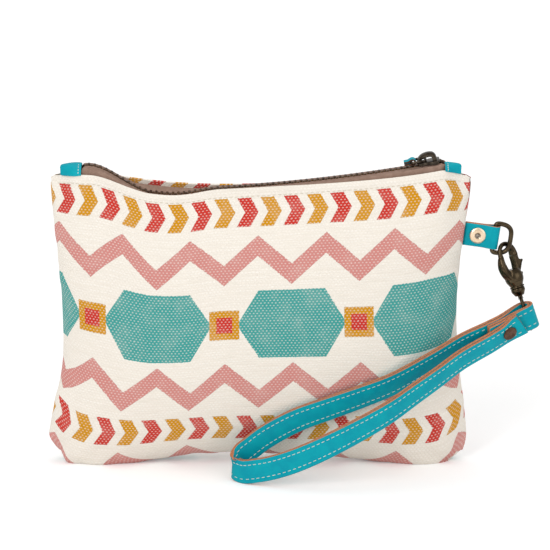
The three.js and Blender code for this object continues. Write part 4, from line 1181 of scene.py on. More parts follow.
def make_teeth(side):
    """A row of metal teeth: each is a block with a rounded section that grips the bead, narrows
    inward and ends in a low nib past the middle of the chain."""
    count = int((TEETH_SPAN[1] - TEETH_SPAN[0]) / TOOTH_PITCH)
    x = TEETH_SPAN[0] + TOOTH_PITCH * (np.arange(count) + (0.75 if side > 0 else 0.25))
    centre, along, up = chain_frame(x)
    section = rounded_box(TOOTH_WIDE_SHARES * TOOTH_WIDTH, TOOTH_HIGH_SHARES * TOOTH_HEIGHT / 2, 0.28, 2)
    across = side * (TOOTH_STEPS + spread_at(x)[:, None])
    points = centre[:, None, None] + np.array([0, 1, 0]) * across[:, :, None, None]
    points = points + along[:, None, None] * section[..., :1] + up[:, None, None] * section[..., 1:]
    stations, ring = section.shape[:2]
    shell = Shell(points, repeated(tube_faces(stations, ring), stations * ring, count))
    name = FACE[side] + "_teeth"
    row = add_piece(name, [shell], [ZIP_METAL], "pouch", [FACE[side] + "_zip_teeth"], sharp=40)
    held = to_part([0, side * TOOTH_STEPS[0], ZIP_LOW_Z])
    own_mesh(row)


def make_end_tab(end, span, seam_x, lower):
    """A leather tab folded over the pinched end of the zip: it leans in from one canvas edge to a
    narrow ridge and down to the other, with rounded outer corners and a row of stitches."""
    outer = max(span, key=abs)

    def lines(x):
        """Points across the tab at each x: a rounded fold from the front edge to the back edge."""
        share = np.clip((x - span[0]) / (span[1] - span[0]), 0, 1)
        near = np.clip(1 - np.abs(x - outer) / END_TAB_ROUND, 0, 1)
        corner = END_TAB_ROUND * (1 - np.sqrt(1 - near ** 2))
        crown = chain_run(np.clip(x, ZIP_DROP_LEFT_X + 1, ZIP_DROP_RIGHT_X - 1)) + END_TAB_CROWN - lower
        crown = crown + END_TAB_BULGE * np.sin(np.pi * share) ** 0.5 - corner
        crown = crown - END_TAB_FALL * ease((np.abs(x) - END_TAB_FALL_X) / END_TAB_FALL_RUN)
        out = GAP / 2 + depth_at(x / TOP_HALF_WIDTH, 1.0) + END_TAB_OVER
        ridge = np.minimum(END_TAB_RIDGE, out)
        halves = []
        for side in (-1, 1):
            foot = mix(*edge_height(side, np.array(span)), share) - END_TAB_FOOT[side] + 0.8 * corner
            foot = np.minimum(foot, crown - 1)
            corners = [
                (side * out, foot), (side * out, mix(foot, crown, 0.6)),
                (side * mix(ridge, out, 0.25), crown), (0, crown),
            ]
            halves.append(bezier([points_of(x, y, z)[:, None] for y, z in corners], 17))
        return np.concatenate([halves[0], halves[1][:, -2::-1]], 1)

    shell = sheet_shell(lines(np.linspace(*span, 41)), True)
    tab = add_piece(end + "_tab", [shell], [LEATHER], "pouch", [end + "_zip_tab"])
    thicken(tab, END_TAB_LEATHER, END_TAB_BEVEL)
    before, seam, after = lines(seam_x + np.array([-0.5, 0, 0.5]))
    at = np.array([3, 6, 9, 12, 20, 23, 26, 29])
    along = unit(seam[at + 1] - seam[at - 1])
    face = unit(np.cross(after[at] - before[at], along))
    face = face * np.sign(face[:, 2:] + 1e-9)
    row = stitches(seam[at] + TAB_THREAD_LIFT * face, along, face, TAB_STITCH, *TAB_THREAD)
    add_piece(end + "_tab_stitching", [row], [THREAD_WHITE], "pouch")


# Slider and pull: the slider lies along the chain at SLIDER_X, and the pull tilts on its pivot


SLIDER_TURN = turned(-math.degrees(math.asin((SLIDER_X - ZIP_LOW_X) / ZIP_ARC_RADIUS)), 1)
PULL_TURN = SLIDER_TURN @ turned(PULL_TILT, 1)
PULL_PIVOT_Z = TOOTH_HEIGHT / 2 + GAP + SLIDER_PLATE + BAIL_WIRE / 2 + GAP
in_slider = carrier(SLIDER_TURN, np.array([SLIDER_X, 0, float(chain_height(SLIDER_X))]))
in_pull = carrier(PULL_TURN, in_slider((PULL_PIVOT_X, 0, PULL_PIVOT_Z)))


def make_slider():
    """The slider: two plates that widen towards the open end, joined by side rails and a divider,
    and an arched bridge of a flat bar over the top plate."""
    half = SLIDER_LENGTH / 2
    straight = half - SLIDER_END
    cap = straight + arc(SLIDER_END, 90, 0, 6)[:, 1]
    middle = np.linspace(straight - 0.2, 0.2 - straight, 20)
    x = np.concatenate([cap, middle, -cap[::-1]])[::-1]
    inside = BEAD_FAR + GAP + TOOTH_SPREAD * ease((x + half / 2) / half)
    end = np.clip((np.abs(x) - straight) / SLIDER_END, 0, 1)
    draw = SLIDER_END * (1 - np.sqrt(np.maximum(1 - end ** 2, 0)))
    section = rounded_box(np.maximum(inside + SLIDER_WALL - draw, 0.5), SLIDER_PLATE / 2, 0.32)
    rail = rounded_box(SLIDER_WALL / 2, RAIL_HALF_HEIGHT, 0.2, 3)
    ridge = TOOTH_HEIGHT / 2 + GAP
    foot = ridge + SLIDER_PLATE / 2
    shells = []
    for face in (1, -1):
        path = points_of(x, 0, face * foot)
        shells.append(sweep(in_slider(path), SLIDER_TURN[:, 2], section))
        for side in (1, -1):
            path = points_of(x, side * (inside + SLIDER_WALL / 2), face * RAIL_LEVEL)
            shells.append(sweep(in_slider(path[draw < 0.1]), SLIDER_TURN[:, 2], rail))
    divider = in_slider([(straight, 0, -ridge - 0.4), (straight, 0, ridge + 0.4)])
    shells.append(sweep(divider, (0, 1.0, 0), rounded_box(1.1, 0.4, 0.3, 3)))
    left = BRIDGE_SHIFT - BRIDGE_LENGTH / 2 + BRIDGE_BAR / 2
    right = BRIDGE_SHIFT + BRIDGE_LENGTH / 2 - BRIDGE_BAR / 2
    peak = mix(left, right, BRIDGE_PEAK)
    top = foot + SLIDER_PLATE / 2 + BRIDGE_HEIGHT - BRIDGE_BAR / 2
    rise = [(left, foot), (left, mix(foot, top, 0.75)), (mix(left, peak, 0.5), top), (peak, top)]
    fall = [(peak, top), (mix(peak, right, 0.8), top), (right, mix(foot, top, 0.85)), (right, foot)]
    arch = np.insert(np.concatenate([bezier(rise, 17), bezier(fall, 17)[1:]]), 1, 0, -1)
    bar = BRIDGE_BAR / 2 * np.interp(arch[:, 0], [left, peak, right], [0.8, 1.0, 0.9])
    wide = BRIDGE_WIDTH / 2 * np.interp(arch[:, 2], [foot, top], [1.25, 0.95])
    shells.append(sweep(in_slider(arch), (0, 1.0, 0), rounded_box(bar, wide, 0.5)))
    add_piece("slider", shells, [SLIDER_METAL], "slider", ["zip_slider"], sharp=50)


def make_pull():
    """The pull: a wire bail with rounded corners, and a short leather strip folded over its end, its cut
    edges painted darker as shade.
    """
    half = PULL_WIDTH / 2 + GAP + BAIL_WIRE / 2
    line = rounded_loop((-BAIL_LENGTH, -half), (0, half), BAIL_CORNER, 7)
    path = in_pull(np.insert(line, 2, 0, -1))
    bail = sweep(path, PULL_TURN[:, 2], circle(BAIL_WIRE / 2, 14), closed=True)
    add_piece("pull_bail", [bail], [SLIDER_METAL], "pull", ["zip_pull_bail"])
    bend = fold_line(BAIL_WIRE, PULL_LEATHER, PULL_LENGTH, PULL_LENGTH * 0.6)
    path = np.insert(bend, 1, 0, -1) + (BAIL_WIRE / 2 - BAIL_LENGTH, 0, 0)
    section, paint = leather_section(PULL_WIDTH, PULL_LEATHER)
    strip = sweep(in_pull(path), (0, 1.0, 0), section, paint=paint)
    # The strip's cut edges take the darker edge colour, a painted shade
    add_piece("pull_leather", [strip], [LEATHER, SHADED_EDGE], "pull", ["zip_pull_tab"])


def fold_line(rod, leather, length, pinch, steps=13):
    """Middle line, seen from the edge, of a strip folded round a rod at the origin, both ends to
    the left: two flat runs that part towards a half circle round the rod."""
    radius = rod / 2 + GAP + leather / 2
    lay = GAP / 2 + leather / 2
    run = np.linspace(0, 1, 7)
    lower = points_of(mix(-length, -pinch, run), -lay)
    neck = run[1:-1]
    part = points_of(-pinch * (1 - neck), -mix(lay, radius, ease(neck)))
    mirror = np.array([1, -1])
    half = np.concatenate([lower, part])
    return np.concatenate([half, arc(radius, -90, 90, steps), half[::-1] * mirror])


def leather_section(width, thick, corner=0.32):
    """Section of a leather strip: a flat bar with rounded corners. Its first coordinate runs across
    the thickness and its second across the width. Returns the points and their face colours: 0 on
    the faces and 1 on the cut edges."""
    section = rounded_box(thick / 2, width / 2, corner)
    middle = (section + np.roll(section, -1, 0)) / 2
    return section, (np.abs(middle[:, 1]) > width / 2 - 0.75 * corner).astype(int)


# Side tab and ring: the tab's x runs out from the side seam


TAB_TURN = turned(SIDE_TAB_TILT, 1)
RING_PLACE = np.array([SIDE_TAB_LENGTH, 0, 0])
in_tab = carrier(TAB_TURN, np.array([half_width(SIDE_TAB_Z / CORNER_HEIGHT) + GAP, 0, SIDE_TAB_Z]))


def ring_point(turn):
    """Place on the D-ring's bow: a rounded square, in the tab's frame, from the ring's middle."""
    power = 2 / RING_SQUARENESS
    out = np.abs(np.cos(turn)) ** power
    up = np.sign(turn) * np.abs(np.sin(turn)) ** power
    return points_of(RING_BOW * out, 0, RING_HALF_BAR * up)


def rivet_cap(diameter, place, matrix):
    """A low rivet cap: a flat disc with a rolled rim and a shallow dimple, its face along z."""
    r = diameter / 2
    h = RIVET_CAP_RISE
    dimple = [(0, 0.72 * h), (0.32 * r, 0.74 * h), (0.42 * r, h)]
    rim = [(0.8 * r, 0.9 * h), (r, 0.5 * h), (r, 0.05), (0.9 * r, 0), (0, 0)]
    return lathe(rounded_profile(dimple + rim, 0.7), place, matrix)


def rivet_back(length, place, matrix):
    """A rivet's shank with a plain head behind: the head lies along minus z."""
    r = RIVET_BACK / 2
    s = RIVET_SHANK / 2
    h = RIVET_BACK_RISE
    corners = [(0, length), (s, length), (s, 0), (r, 0), (r, -0.5 * h), (0.7 * r, -h), (0, -h)]
    return lathe(rounded_profile(corners, 0.35), place, matrix)


def make_side_tab():
    """The side tab: a leather strip folded round the ring's bar, with a rivet through both layers."""
    bend = fold_line(RING_WIRE, SIDE_TAB_LEATHER, SIDE_TAB_LENGTH, SIDE_TAB_LENGTH * 0.42, 17)
    section, paint = leather_section(SIDE_TAB_HEIGHT, SIDE_TAB_LEATHER)
    path = in_tab(np.insert(bend, 2, 0, -1) + RING_PLACE)
    strip = sweep(path, TAB_TURN[:, 2], section, paint=paint)
    add_piece("side_tab_leather", [strip], [LEATHER, RAW_EDGE], "pouch", ["side_tab"])
    face = GAP / 2 + SIDE_TAB_LEATHER
    forward = TAB_TURN @ turned(90, 0)
    front = in_tab((SIDE_RIVET_X, -face - RIVET_SEAT, 0))
    cap = rivet_cap(SIDE_RIVET_CAP, front, forward)
    add_piece("side_rivet", [cap], [BRASS], "pouch", ["side_tab_rivet_cap"], sharp=50)
    core = [(0, 1.3), (0.55, 1.3), (0.7, 1.0), (1.1, 1.0), (1.25, 1.32)]
    core += [(1.4, 1.32), (1.5, 1.0), (1.5, 0.5), (0, 0.5)]
    add_piece("side_rivet_core", [lathe(core, front, forward, 28)], [STEEL], "pouch")
    back = rivet_back(2 * face, in_tab((SIDE_RIVET_X, face + RIVET_SEAT, 0)), forward)
    add_piece("side_rivet_back", [back], [BRASS], "pouch", ["side_tab_rivet_post"], sharp=50)


def make_ring():
    """The D-ring: a round wire along a straight bar and a bow with squared shoulders, its top a
    little lower than its foot."""
    bow = ring_point(np.radians(np.linspace(-RING_BOW_ANGLE, RING_BOW_ANGLE, 61)))
    straight = SIDE_TAB_HEIGHT / 2 + GAP
    down = bezier([bow[-1], (0.8, 0, RING_HALF_BAR), (0, 0, RING_HALF_BAR - 0.3), (0, 0, straight)], 9)
    bar = points_of(0, 0, np.linspace(straight, -straight, 21))
    line = np.concatenate([bow[:-1], down[:-1], bar, (down[::-1] * np.array([1, 1, -1]))[1:-1]])
    for _ in range(2):
        line = line * 0.5 + 0.25 * (np.roll(line, 1, 0) + np.roll(line, -1, 0))
    line[:, 2] -= (1 - RING_TOP_SHARE) * np.maximum(line[:, 2] - RING_TOP_FROM, 0)
    wire = sweep(in_tab(line + RING_PLACE), TAB_TURN[:, 1], circle(RING_WIRE / 2, 20), closed=True)
    add_piece("side_ring", [wire], [BRONZE], "ring", ["d_ring"])


# Clasp and swivel: the clasp hangs along its own -z, and the hook's frame is turned about that line


SEAT = in_tab(ring_point(np.radians(RING_SEAT_ANGLE)) + RING_PLACE)
HANG = np.array([math.sin(math.radians(CLASP_LEAN)), -math.sin(math.radians(CLASP_REACH)), 0])
HANG[2] = -math.sqrt(1 - HANG[0] ** 2 - HANG[1] ** 2)
CLASP_FRAME = turn_onto(np.array([0, 0, -1.0]), HANG)
HOOK_FRAME = CLASP_FRAME @ turned(CLASP_TURN, 2)
in_clasp = carrier(CLASP_FRAME, SEAT)
in_hook = carrier(HOOK_FRAME, SEAT)
PIVOT = in_hook((TRIGGER_PIN_X, 0, TRIGGER_PIN_Z))
at_pivot = carrier(HOOK_FRAME, PIVOT)
HOOK_TOP = RING_WIRE / 2 + 3 * GAP + HOOK_BAR / 2
HOOK_BEND_Z = HOOK_TOP - HOOK_HALF_WIDTH
HOOK_TIP_Z = HOOK_BEND_Z - HOOK_TIP_DROP
COLLAR_FOOT = BARREL_BOTTOM - GAP - COLLAR_HEIGHT
EYE_STEM_TOP = COLLAR_FOOT + EYE_STEM_IN
EYE_TOP = COLLAR_FOOT - EYE_NECK - EYE_WIRE / 2
EYE_BOTTOM = EYE_TOP - (STRAP_WIDTH + 2 * EYE_CORNER + 2 * GAP)
FOLD_Z = EYE_BOTTOM + EYE_CORNER + STRAP_WIDTH / 2


def hook_shell():
    """The cast hook: narrow over the ring, and broad at its tip and foot."""
    turn = np.radians(np.linspace(0, 180, 33))
    reach = HOOK_HALF_WIDTH + HOOK_SWELL
    bend = HOOK_BEND_Z + HOOK_LIFT
    tip = points_of(reach, 0, np.linspace(HOOK_TIP_Z, bend, 5))[:-1]
    across = np.where(turn < np.pi / 2, reach, HOOK_HALF_WIDTH)
    bow = points_of(across * np.cos(turn), 0, bend + reach * np.sin(turn))
    bulge = -HOOK_HALF_WIDTH - HOOK_BULGE
    shank = bezier([
        (-HOOK_HALF_WIDTH, 0, bend - 1), (bulge, 0, HOOK_BEND_Z - 5),
        (bulge, 0, BARREL_TOP + 1), (-HOOK_BAR, 0, BARREL_TOP - 1.6 * HOOK_BAR)], 22)
    path = np.concatenate([tip, bow, shank])
    share = np.linspace(0, 1, len(path))
    thick = np.interp(share, HOOK_SHARES, HOOK_THICK)
    broad = np.interp(share, HOOK_SHARES, HOOK_BROAD)
    return sweep(in_hook(path), HOOK_FRAME[:, 1], rounded_box(thick, broad, HOOK_ROUND, 7))


def barrel_shells():
    """The turned barrel and its collar. The barrel's slotted part is a ring of an arc and the slot's
    walls, scaled by the barrel's profile."""
    foot = BARREL_BOTTOM - GAP
    slot_low = TRIGGER_PIN_Z - TRIGGER_BAR
    slot_left = TRIGGER_PIN_X - TRIGGER_BAR / 2 - 3 * GAP
    slot_half = TRIGGER_DEPTH / 2 + GAP
    profile = rounded_profile([
        (0.74 * BARREL_RADIUS, BARREL_TOP + BARREL_LIP), (BARREL_RADIUS, BARREL_TOP - 2.0),
        (0.98 * BARREL_RADIUS, BARREL_TOP - 5.2), (0.95 * COLLAR_RADIUS, BARREL_BOTTOM)], BARREL_ROUND, 10)
    z = np.linspace(BARREL_TOP + BARREL_LIP, slot_low, 25)
    radius = np.interp(-z, -profile[:, 1], profile[:, 0])[:, None]
    start = np.arcsin(slot_half / radius)
    angle = start + (2 * np.pi - 2 * start) * np.linspace(0, 1, 49)
    round_part = points_of(radius * np.cos(angle), radius * np.sin(angle))
    wall = np.broadcast_to([[slot_left, -slot_half], [slot_left, slot_half]], (len(z), 2, 2))
    ring = np.concatenate([round_part, wall], 1)
    points = points_of(ring[..., 0], ring[..., 1], z[:, None])
    slotted = Shell(in_hook(points), tube_faces(*ring.shape[:2]))
    wide = 1.02 * COLLAR_RADIUS
    main = 0.96 * COLLAR_RADIUS
    skirt = COLLAR_FOOT - COLLAR_SKIRT
    bore = EYE_STEM / 2 + GAP
    lower = [
        (0, slot_low), (radius[-1, 0], slot_low), (0.86 * COLLAR_RADIUS, BARREL_BOTTOM),
        (wide, BARREL_BOTTOM - 0.1), (wide, foot - 0.5), (0.82 * COLLAR_RADIUS, foot - 0.6),
        (main, foot - 1.0), (main, foot - 0.7 * COLLAR_HEIGHT), (0.62 * COLLAR_RADIUS, skirt),
        (bore, skirt), (bore, EYE_STEM_TOP + GAP), (0, EYE_STEM_TOP + GAP),
    ]
    return [slotted, lathe(rounded_profile(lower, 0.35), SEAT, HOOK_FRAME, 48)]


def make_clasp():
    """The clasp's body, and the pin and spring of its trigger."""
    shells = [hook_shell(), *barrel_shells()]
    add_piece("clasp_hook", shells, [BRONZE], "clasp", ["clasp_body"], sharp=38)
    half = math.sqrt(BARREL_RADIUS ** 2 - TRIGGER_PIN_X ** 2) - GAP / 2
    pin = [(0, half + 0.2), (TRIGGER_PIN / 2, half), (TRIGGER_PIN / 2, -half), (0, -half - 0.2)]
    rod = lathe(rounded_profile(pin, 0.3), PIVOT, HOOK_FRAME @ turned(90, 0), 24)
    add_piece("trigger_pin", [rod], [BRONZE], "clasp", ["clasp_trigger_pin"], sharp=50)
    turns = np.linspace(0, SPRING_TURNS, 60)
    coil = np.insert(arc(SPRING_RADIUS, 0, 360 * SPRING_TURNS, 60), 1, 0, -1)
    coil[:, 1] = SPRING_PITCH * (turns - SPRING_TURNS / 2)
    wire = sweep(at_pivot(coil), HOOK_FRAME[:, 1], circle(SPRING_WIRE / 2, 8))
    add_piece("trigger_spring", [wire], [STEEL], "clasp", ["clasp_spring"])


def make_trigger():
    """The trigger: a gate that closes the hook, with a thumb piece outside, hung from the pin by two
    cheek rings that leave room for the spring between them."""
    half = TRIGGER_BAR / 2
    top = HOOK_TIP_Z - 0.1 - TRIGGER_PIN_Z
    gate = HOOK_HALF_WIDTH - TRIGGER_PIN_X
    right = gate + half
    thumb = THUMB_REACH - TRIGGER_PIN_X
    room = SPRING_RADIUS + SPRING_WIRE
    hub = arc(room, 150, 30, 13)
    t = np.linspace(0, 1, 9)[1:, None]
    outline = [hub]
    for pull, end in (
        ((half + 0.8, 2), (right, 3.6)),
        (((right + thumb - 0.8) / 2, 4.4), (thumb - 0.8, 5.4)),
        ((thumb + 0.3, 6), (thumb - 0.4, 6.8)),
        ((right + 1.2, 6.6), (right, 7.6)),
        ((right, 8), (right, top)),
    ):
        outline.append(quadratic(outline[-1][-1], pull, end, t))
    corner = (gate - half, top)
    outline += [[corner], quadratic(corner, (gate - half, 3.4), hub[0], t)[:-1]]
    shells = [plate(np.concatenate(outline), TRIGGER_DEPTH, TRIGGER_EDGE, PIVOT, HOOK_FRAME)]
    inner = TRIGGER_PIN / 2 + GAP / 2
    outer = room + 0.15
    width = (TRIGGER_DEPTH - SPRING_PITCH * SPRING_TURNS - SPRING_WIRE) / 2 - GAP
    loop = np.insert(circle((inner + outer) / 2, 32), 1, 0, -1)
    section = rounded_box((outer - inner) / 2, width / 2, 0.2, 3)
    for side in (-1, 1):
        path = at_pivot(loop + (0, side * (TRIGGER_DEPTH - width) / 2, 0))
        shells.append(sweep(path, HOOK_FRAME[:, 1], section, closed=True))
    add_piece("trigger", shells, [BRONZE], "trigger", ["clasp_trigger"], sharp=45)


def make_eye():
    """The swivel eye: a long wire loop with rounded corners under a stem that turns in the collar."""
    low = (-EYE_HALF_WIDTH, EYE_BOTTOM + EYE_FOOT_RISE)
    line = np.insert(rounded_loop(low, (EYE_HALF_WIDTH, EYE_TOP), EYE_CORNER, 9), 0, 0, -1)
    loop = sweep(in_clasp(line), CLASP_FRAME[:, 0], circle(EYE_WIRE / 2, 18), closed=True)
    r = EYE_STEM / 2
    stem = [(0, EYE_STEM_TOP), (r, EYE_STEM_TOP), (r, EYE_TOP), (r + 0.3, EYE_TOP - 0.4), (0, EYE_TOP - 0.8)]
    post = lathe(rounded_profile(stem, 0.4), SEAT, CLASP_FRAME, 28)
    add_piece("swivel_loop", [loop, post], [BRONZE], "eye", ["swivel_eye"], sharp=50)


# Wrist strap


FOLD_LEFT = unit([-1, -STRAP_FORWARD, -STRAP_FALL])
FOLD_MIDDLE = in_clasp((0, -EYE_HALF_WIDTH, FOLD_Z)) + STRAP_PULL * FOLD_LEFT
EYE_WAY = unit(CLASP_FRAME[:, 2] - (CLASP_FRAME[:, 2] @ FOLD_LEFT) * FOLD_LEFT)
EYE_FRONT = unit(np.cross(EYE_WAY, FOLD_LEFT))


def centripetal(points, per_segment=40):
    """A centripetal spline through points: each span blends the lines through its neighbours, with
    knots spaced by the square roots of the distances."""
    p = np.asarray(points, float)
    p = np.concatenate([[2 * p[0] - p[1]], p, [2 * p[-1] - p[-2]]])
    a, b, c, d = p[:-3], p[1:-2], p[2:-1], p[3:]
    gap = [np.sqrt(np.linalg.norm(q - r, axis=-1, keepdims=True)) for q, r in ((b, a), (c, b), (d, c))]
    first = ((b - a) / gap[0] - (c - a) / (gap[0] + gap[1]) + (c - b) / gap[1]) * gap[1]
    last = ((c - b) / gap[1] - (d - b) / (gap[1] + gap[2]) + (d - c) / gap[2]) * gap[1]
    t = np.linspace(0, 1, per_segment, endpoint=False)[None, :, None]
    b, c, first, last = (q[:, None] for q in (b, c, first, last))
    curve = (2 * t ** 3 - 3 * t ** 2 + 1) * b + (t ** 3 - 2 * t ** 2 + t) * first
    curve = curve + (3 * t ** 2 - 2 * t ** 3) * c + (t ** 3 - t ** 2) * last
    return np.concatenate([curve.reshape(-1, 3), p[-2:-1]])


def fold_axes(run):
    """Ways up the strap's width and out of its front face at distances left of the fold: along the
    swivel eye with a little tilt at the fold, leaning further forward along the stack."""
    start, end = STRAP_LEAN_RUN
    lean = mix(STRAP_FOLD_TILT, STRAP_LEAN, ease((run - start) / (end - start)))
    turn = np.radians(lean)[..., None]
    width = np.cos(turn) * EYE_WAY + np.sin(turn) * EYE_FRONT
    return width, np.cos(turn) * EYE_FRONT - np.sin(turn) * EYE_WAY


def near_drop(run):
    """How far the near end sits below the stack: it is turned a little about its rivet."""
    return mix(*STRAP_NEAR_DROP, (run - STRAP_NEAR_START) / (STRAP_TAIL - STRAP_NEAR_START))


def stack_point(run, out, drop=0.0):
    """A point of the strap's stack at a distance left of the fold: out of the middle layer's face,
    and below its line by a drop."""
    width, front = fold_axes(run)
    rise = STRAP_SKEW * run * (1 - run / (2 * STRAP_TAIL)) - drop
    return FOLD_MIDDLE + run * FOLD_LEFT + rise * width + out * front


def loop_point(entry, close):
    """A point of the hand loop, kept clear of the pouch where it runs close to it."""
    run, out, share = entry
    x = FOLD_MIDDLE[0] - run
    z = FOLD_MIDDLE[2] * share
    clear = belly_at(x, z + STRAP_WIDTH / 4) + STRAP_THICK / 2 + 3 * GAP
    return np.array([x, -max(out, clear if close else 0), z])


def strap_line():
    """The strap's middle line: from its cut end in front of the rivet, round the hand loop, back
    along the pouch, round the swivel eye and between the two runs to its tail."""
    turn = STRAP_HOLLOW + STRAP_THICK / 2
    lay = (STRAP_THICK + GAP) / 2
    half = STRAP_TAIL / 2
    near_end = ((STRAP_NEAR_START, 2 * lay + 0.8 * turn), (half, 3 * lay + GAP), (STRAP_TAIL, 3 * lay))
    long = [stack_point(run, out, near_drop(run)) for run, out in near_end]
    long += [loop_point(entry, False) for entry in [*NEAR_RUN, LOOP_TIP]]
    long += [loop_point(entry, True) for entry in FAR_RUN]
    long += [stack_point(STRAP_TAIL, -lay), stack_point(half, -lay - GAP), stack_point(0, -turn)]
    angle = np.radians(np.arange(1, 24) * 7.5)[:, None]
    width, front = fold_axes(0.0)
    left = unit(FOLD_LEFT + STRAP_SKEW * width)
    bend = FOLD_MIDDLE - turn * np.sin(angle) * left - turn * np.cos(angle) * front
    tail = centripetal([stack_point(0, turn), stack_point(half, lay + GAP), stack_point(STRAP_TAIL, lay)])
    line = np.concatenate([centripetal(long), bend, tail])
    run = run_along(line)
    return sample(np.linspace(0, run[-1], int(run[-1] / STRAP_STEP) + 1), run, line)


def strap_frames(line):
    """Directions along the strap, up its width and out of its face: upright on the hand loop, and
    as the fold's own axes near the swivel eye."""
    along = unit(np.gradient(line, axis=0))
    run = (line - FOLD_MIDDLE) @ FOLD_LEFT
    near = 1 - ease((run - STRAP_TAIL) / STRAP_LEAN_FADE)[:, None]
    up = mix(np.array([0, 0, 1.0]), fold_axes(run)[0], near)
    up = unit(up - np.sum(up * along, -1, keepdims=True) * along)
    return along, up, np.cross(along, up)


def make_strap():
    """The wrist strap: two leather layers with cut edges and a dark sheet of painted shade in the gap between
    them, sewn along both edges, and a rivet.
    """
    line = strap_line()
    along, up, out = strap_frames(line)
    section, paint = leather_section(STRAP_WIDTH, STRAP_LEATHER, 0.3)
    # Painted shade: a dark sheet fills the gap between the two layers, set in a little from their edges
    half_gap = GAP / 2
    gap_shade = sweep(line, up, rounded_box(half_gap, STRAP_WIDTH / 2 - STRAP_GAP_SHADE_INSET, 0.05, 2))
    add_piece("strap_gap_shade", [gap_shade], [SHADED_EDGE], "wrist_strap")
    for name, sign in (("strap_outer", -1), ("strap_inner", 1)):
        layer = sweep(line + sign * (half_gap + STRAP_LEATHER / 2) * out, up, section, paint=paint)
        add_piece(name, [layer], [LEATHER, RAW_EDGE], "wrist_strap", [name + "_layer"])
    run = run_along(line)
    at = np.arange(STRAP_STITCH_ENDS[0], run[-1] - STRAP_STITCH_ENDS[1], STITCH_PITCH)
    centre = sample(at, run, line)
    way, wide, face = (unit(sample(at, run, values)) for values in (along, up, out))
    rows = []
    for sign in (-1, 1):
        for edge in (-1, 1):
            middle = centre + sign * (half_gap + STRAP_LEATHER - STRAP_THREAD_SINK) * face
            middle = middle + edge * (STRAP_WIDTH / 2 - STRAP_STITCH_INSET) * wide
            rows.append(stitches(middle, way, sign * face, STITCH, *STRAP_THREAD))
    add_piece("strap_stitching", rows, [THREAD_WHITE], "wrist_strap")
    out = fold_axes(STRAP_RIVET_RUN)[1]
    seat = stack_point(STRAP_RIVET_RUN, 0, near_drop(STRAP_RIVET_RUN) / 2)
    matrix = np.stack([FOLD_LEFT, np.cross(out, FOLD_LEFT), out], -1)
    front = 2 * STRAP_THICK + 3 * GAP
    back = STRAP_THICK + 2 * GAP
    cap = rivet_cap(STRAP_RIVET_CAP, seat + front * out, matrix)
    add_piece("strap_rivet", [cap], [RIVET_METAL], "wrist_strap", ["strap_rivet_cap"], sharp=50)
    post = rivet_back(front + back, seat - back * out, matrix)
    add_piece("strap_rivet_back", [post], [BRONZE], "wrist_strap", ["strap_rivet_post"], sharp=50)


# Light, floor and camera, in metres


WHITE = (1, 1, 1, 1)
WORLD_LIGHT = 0.62
FLOOR_GREYS = ((0.93, 0.93, 0.93, 1), (0.95, 0.95, 0.95, 1))
FLOOR_HALF = 8
FLOOR_RUN = (450.0, 1600.0)
FLOOR_LIFT = (0.16, 0.52)
LAMP_AIM = np.array([0, 0, 0.08])
LAMPS = [
    ("key", (-0.9, -1.3, 1.5), 1.2, 1.2, 10.4), ("fill", (1.3, -1.1, 0.8), 1.4, 1.4, 5.0),
    ("top", (0.1, 0.3, 1.7), 1.4, 1.4, 7.0), ("glint", (-0.7, -1.5, 0.75), 0.22, 0.9, 4.4),
]
CAMERA_PLACE = (-0.0099, -1.878, 0.6652)
CAMERA_TILT = 73.5
CAMERA_LENS = 238.0
CAMERA_SENSOR = 36.0
CAMERA_FAR = 50


def add_object(name, data):
    """An object in the scene."""
    made = bpy.data.objects.new(name, data)
    bpy.context.scene.collection.objects.link(made)
    return made


def make_world():
    """A white world for what the camera sees, with less light on the object."""
    world = bpy.data.worlds.new("studio")
    bpy.context.scene.world = world
    world.use_nodes = True
    back = next(n for n in world.node_tree.nodes if n.type == "BACKGROUND")
    path = add_node(world.node_tree, "LightPath")
    seen = Wire(path.outputs["Is Camera Ray"]).math("MAXIMUM", Wire(path.outputs["Is Transmission Ray"]))
    feed(back, {"Color": WHITE, "Strength": ramp(seen, 0.0, 1.0, WORLD_LIGHT, 1.0)})


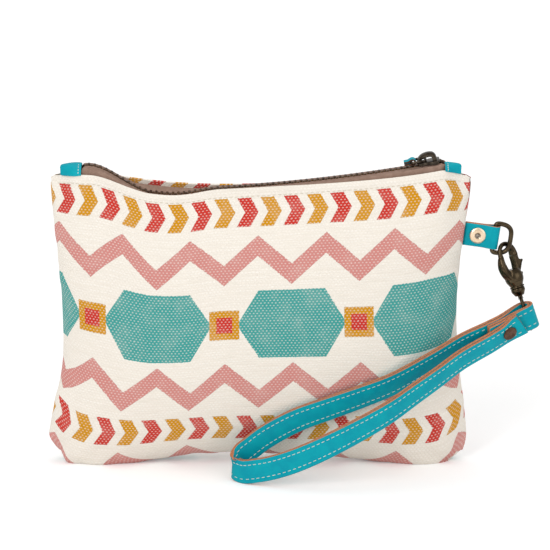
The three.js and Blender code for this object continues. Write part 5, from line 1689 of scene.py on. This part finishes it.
def make_floor():
    """A pale floor that stays white far from the object."""
    material, shader = new_material("pale floor", Roughness=0.9, Specular_IOR_Level=0.0, Emission_Color=WHITE)
    where = object_place(shader)
    away = Wire(add_node(where.tree, "VectorMath", {0: where}, operation="LENGTH").outputs["Value"])
    seen = Wire(add_node(where.tree, "LightPath").outputs["Is Camera Ray"])
    feed(shader, {"Base Color": blend_colour(noise(where, 0.01), *FLOOR_GREYS)})
    feed(shader, {"Emission Strength": seen * ramp(away, *FLOOR_RUN, *FLOOR_LIFT)})
    mesh = bpy.data.meshes.new("floor")
    corners = [(x * FLOOR_HALF, y * FLOOR_HALF, 0) for x, y in ((-1, -1), (1, -1), (1, 1), (-1, 1))]
    mesh.from_pydata(corners, [], [(0, 1, 2, 3)])
    mesh.materials.append(material)
    floor = add_object("floor", mesh)


def make_stage():
    """The world, the floor, soft lamps and a camera at the photograph's angle. Each lamp's -z is
    pointed by a turn about x, then about z."""
    bpy.context.scene.view_settings.view_transform = "Standard"
    make_world()
    make_floor()
    for name, place, wide, high, power in LAMPS:
        light = bpy.data.lights.new(name, "AREA")
        light.shape = "RECTANGLE"
        light.size = wide
        light.size_y = high
        light.energy = power
        lamp = add_object(name, light)
        lamp.location = place
        x, y, z = LAMP_AIM - place
        lamp.rotation_euler = (math.atan2(math.hypot(x, y), -z), 0, math.atan2(-x, y))
    lens = bpy.data.cameras.new("camera")
    lens.lens = CAMERA_LENS
    lens.sensor_width = CAMERA_SENSOR
    lens.clip_end = CAMERA_FAR
    camera = add_object("camera", lens)
    camera.location = CAMERA_PLACE
    camera.rotation_euler = (math.radians(CAMERA_TILT), 0, 0)
    bpy.context.scene.camera = camera


make_stage()
for make in (make_panel, make_lining, make_tape, make_teeth):
    for side in FACE:
        make(side)
make_end_tab("left", LEFT_TAB_X, LEFT_TAB_SEAM_X, 0.0)
make_end_tab("right", RIGHT_TAB_X, RIGHT_TAB_SEAM_X, RIGHT_TAB_LOWER)
make_slider()
make_pull()
make_side_tab()
make_ring()
make_clasp()
make_trigger()
make_eye()
make_strap()
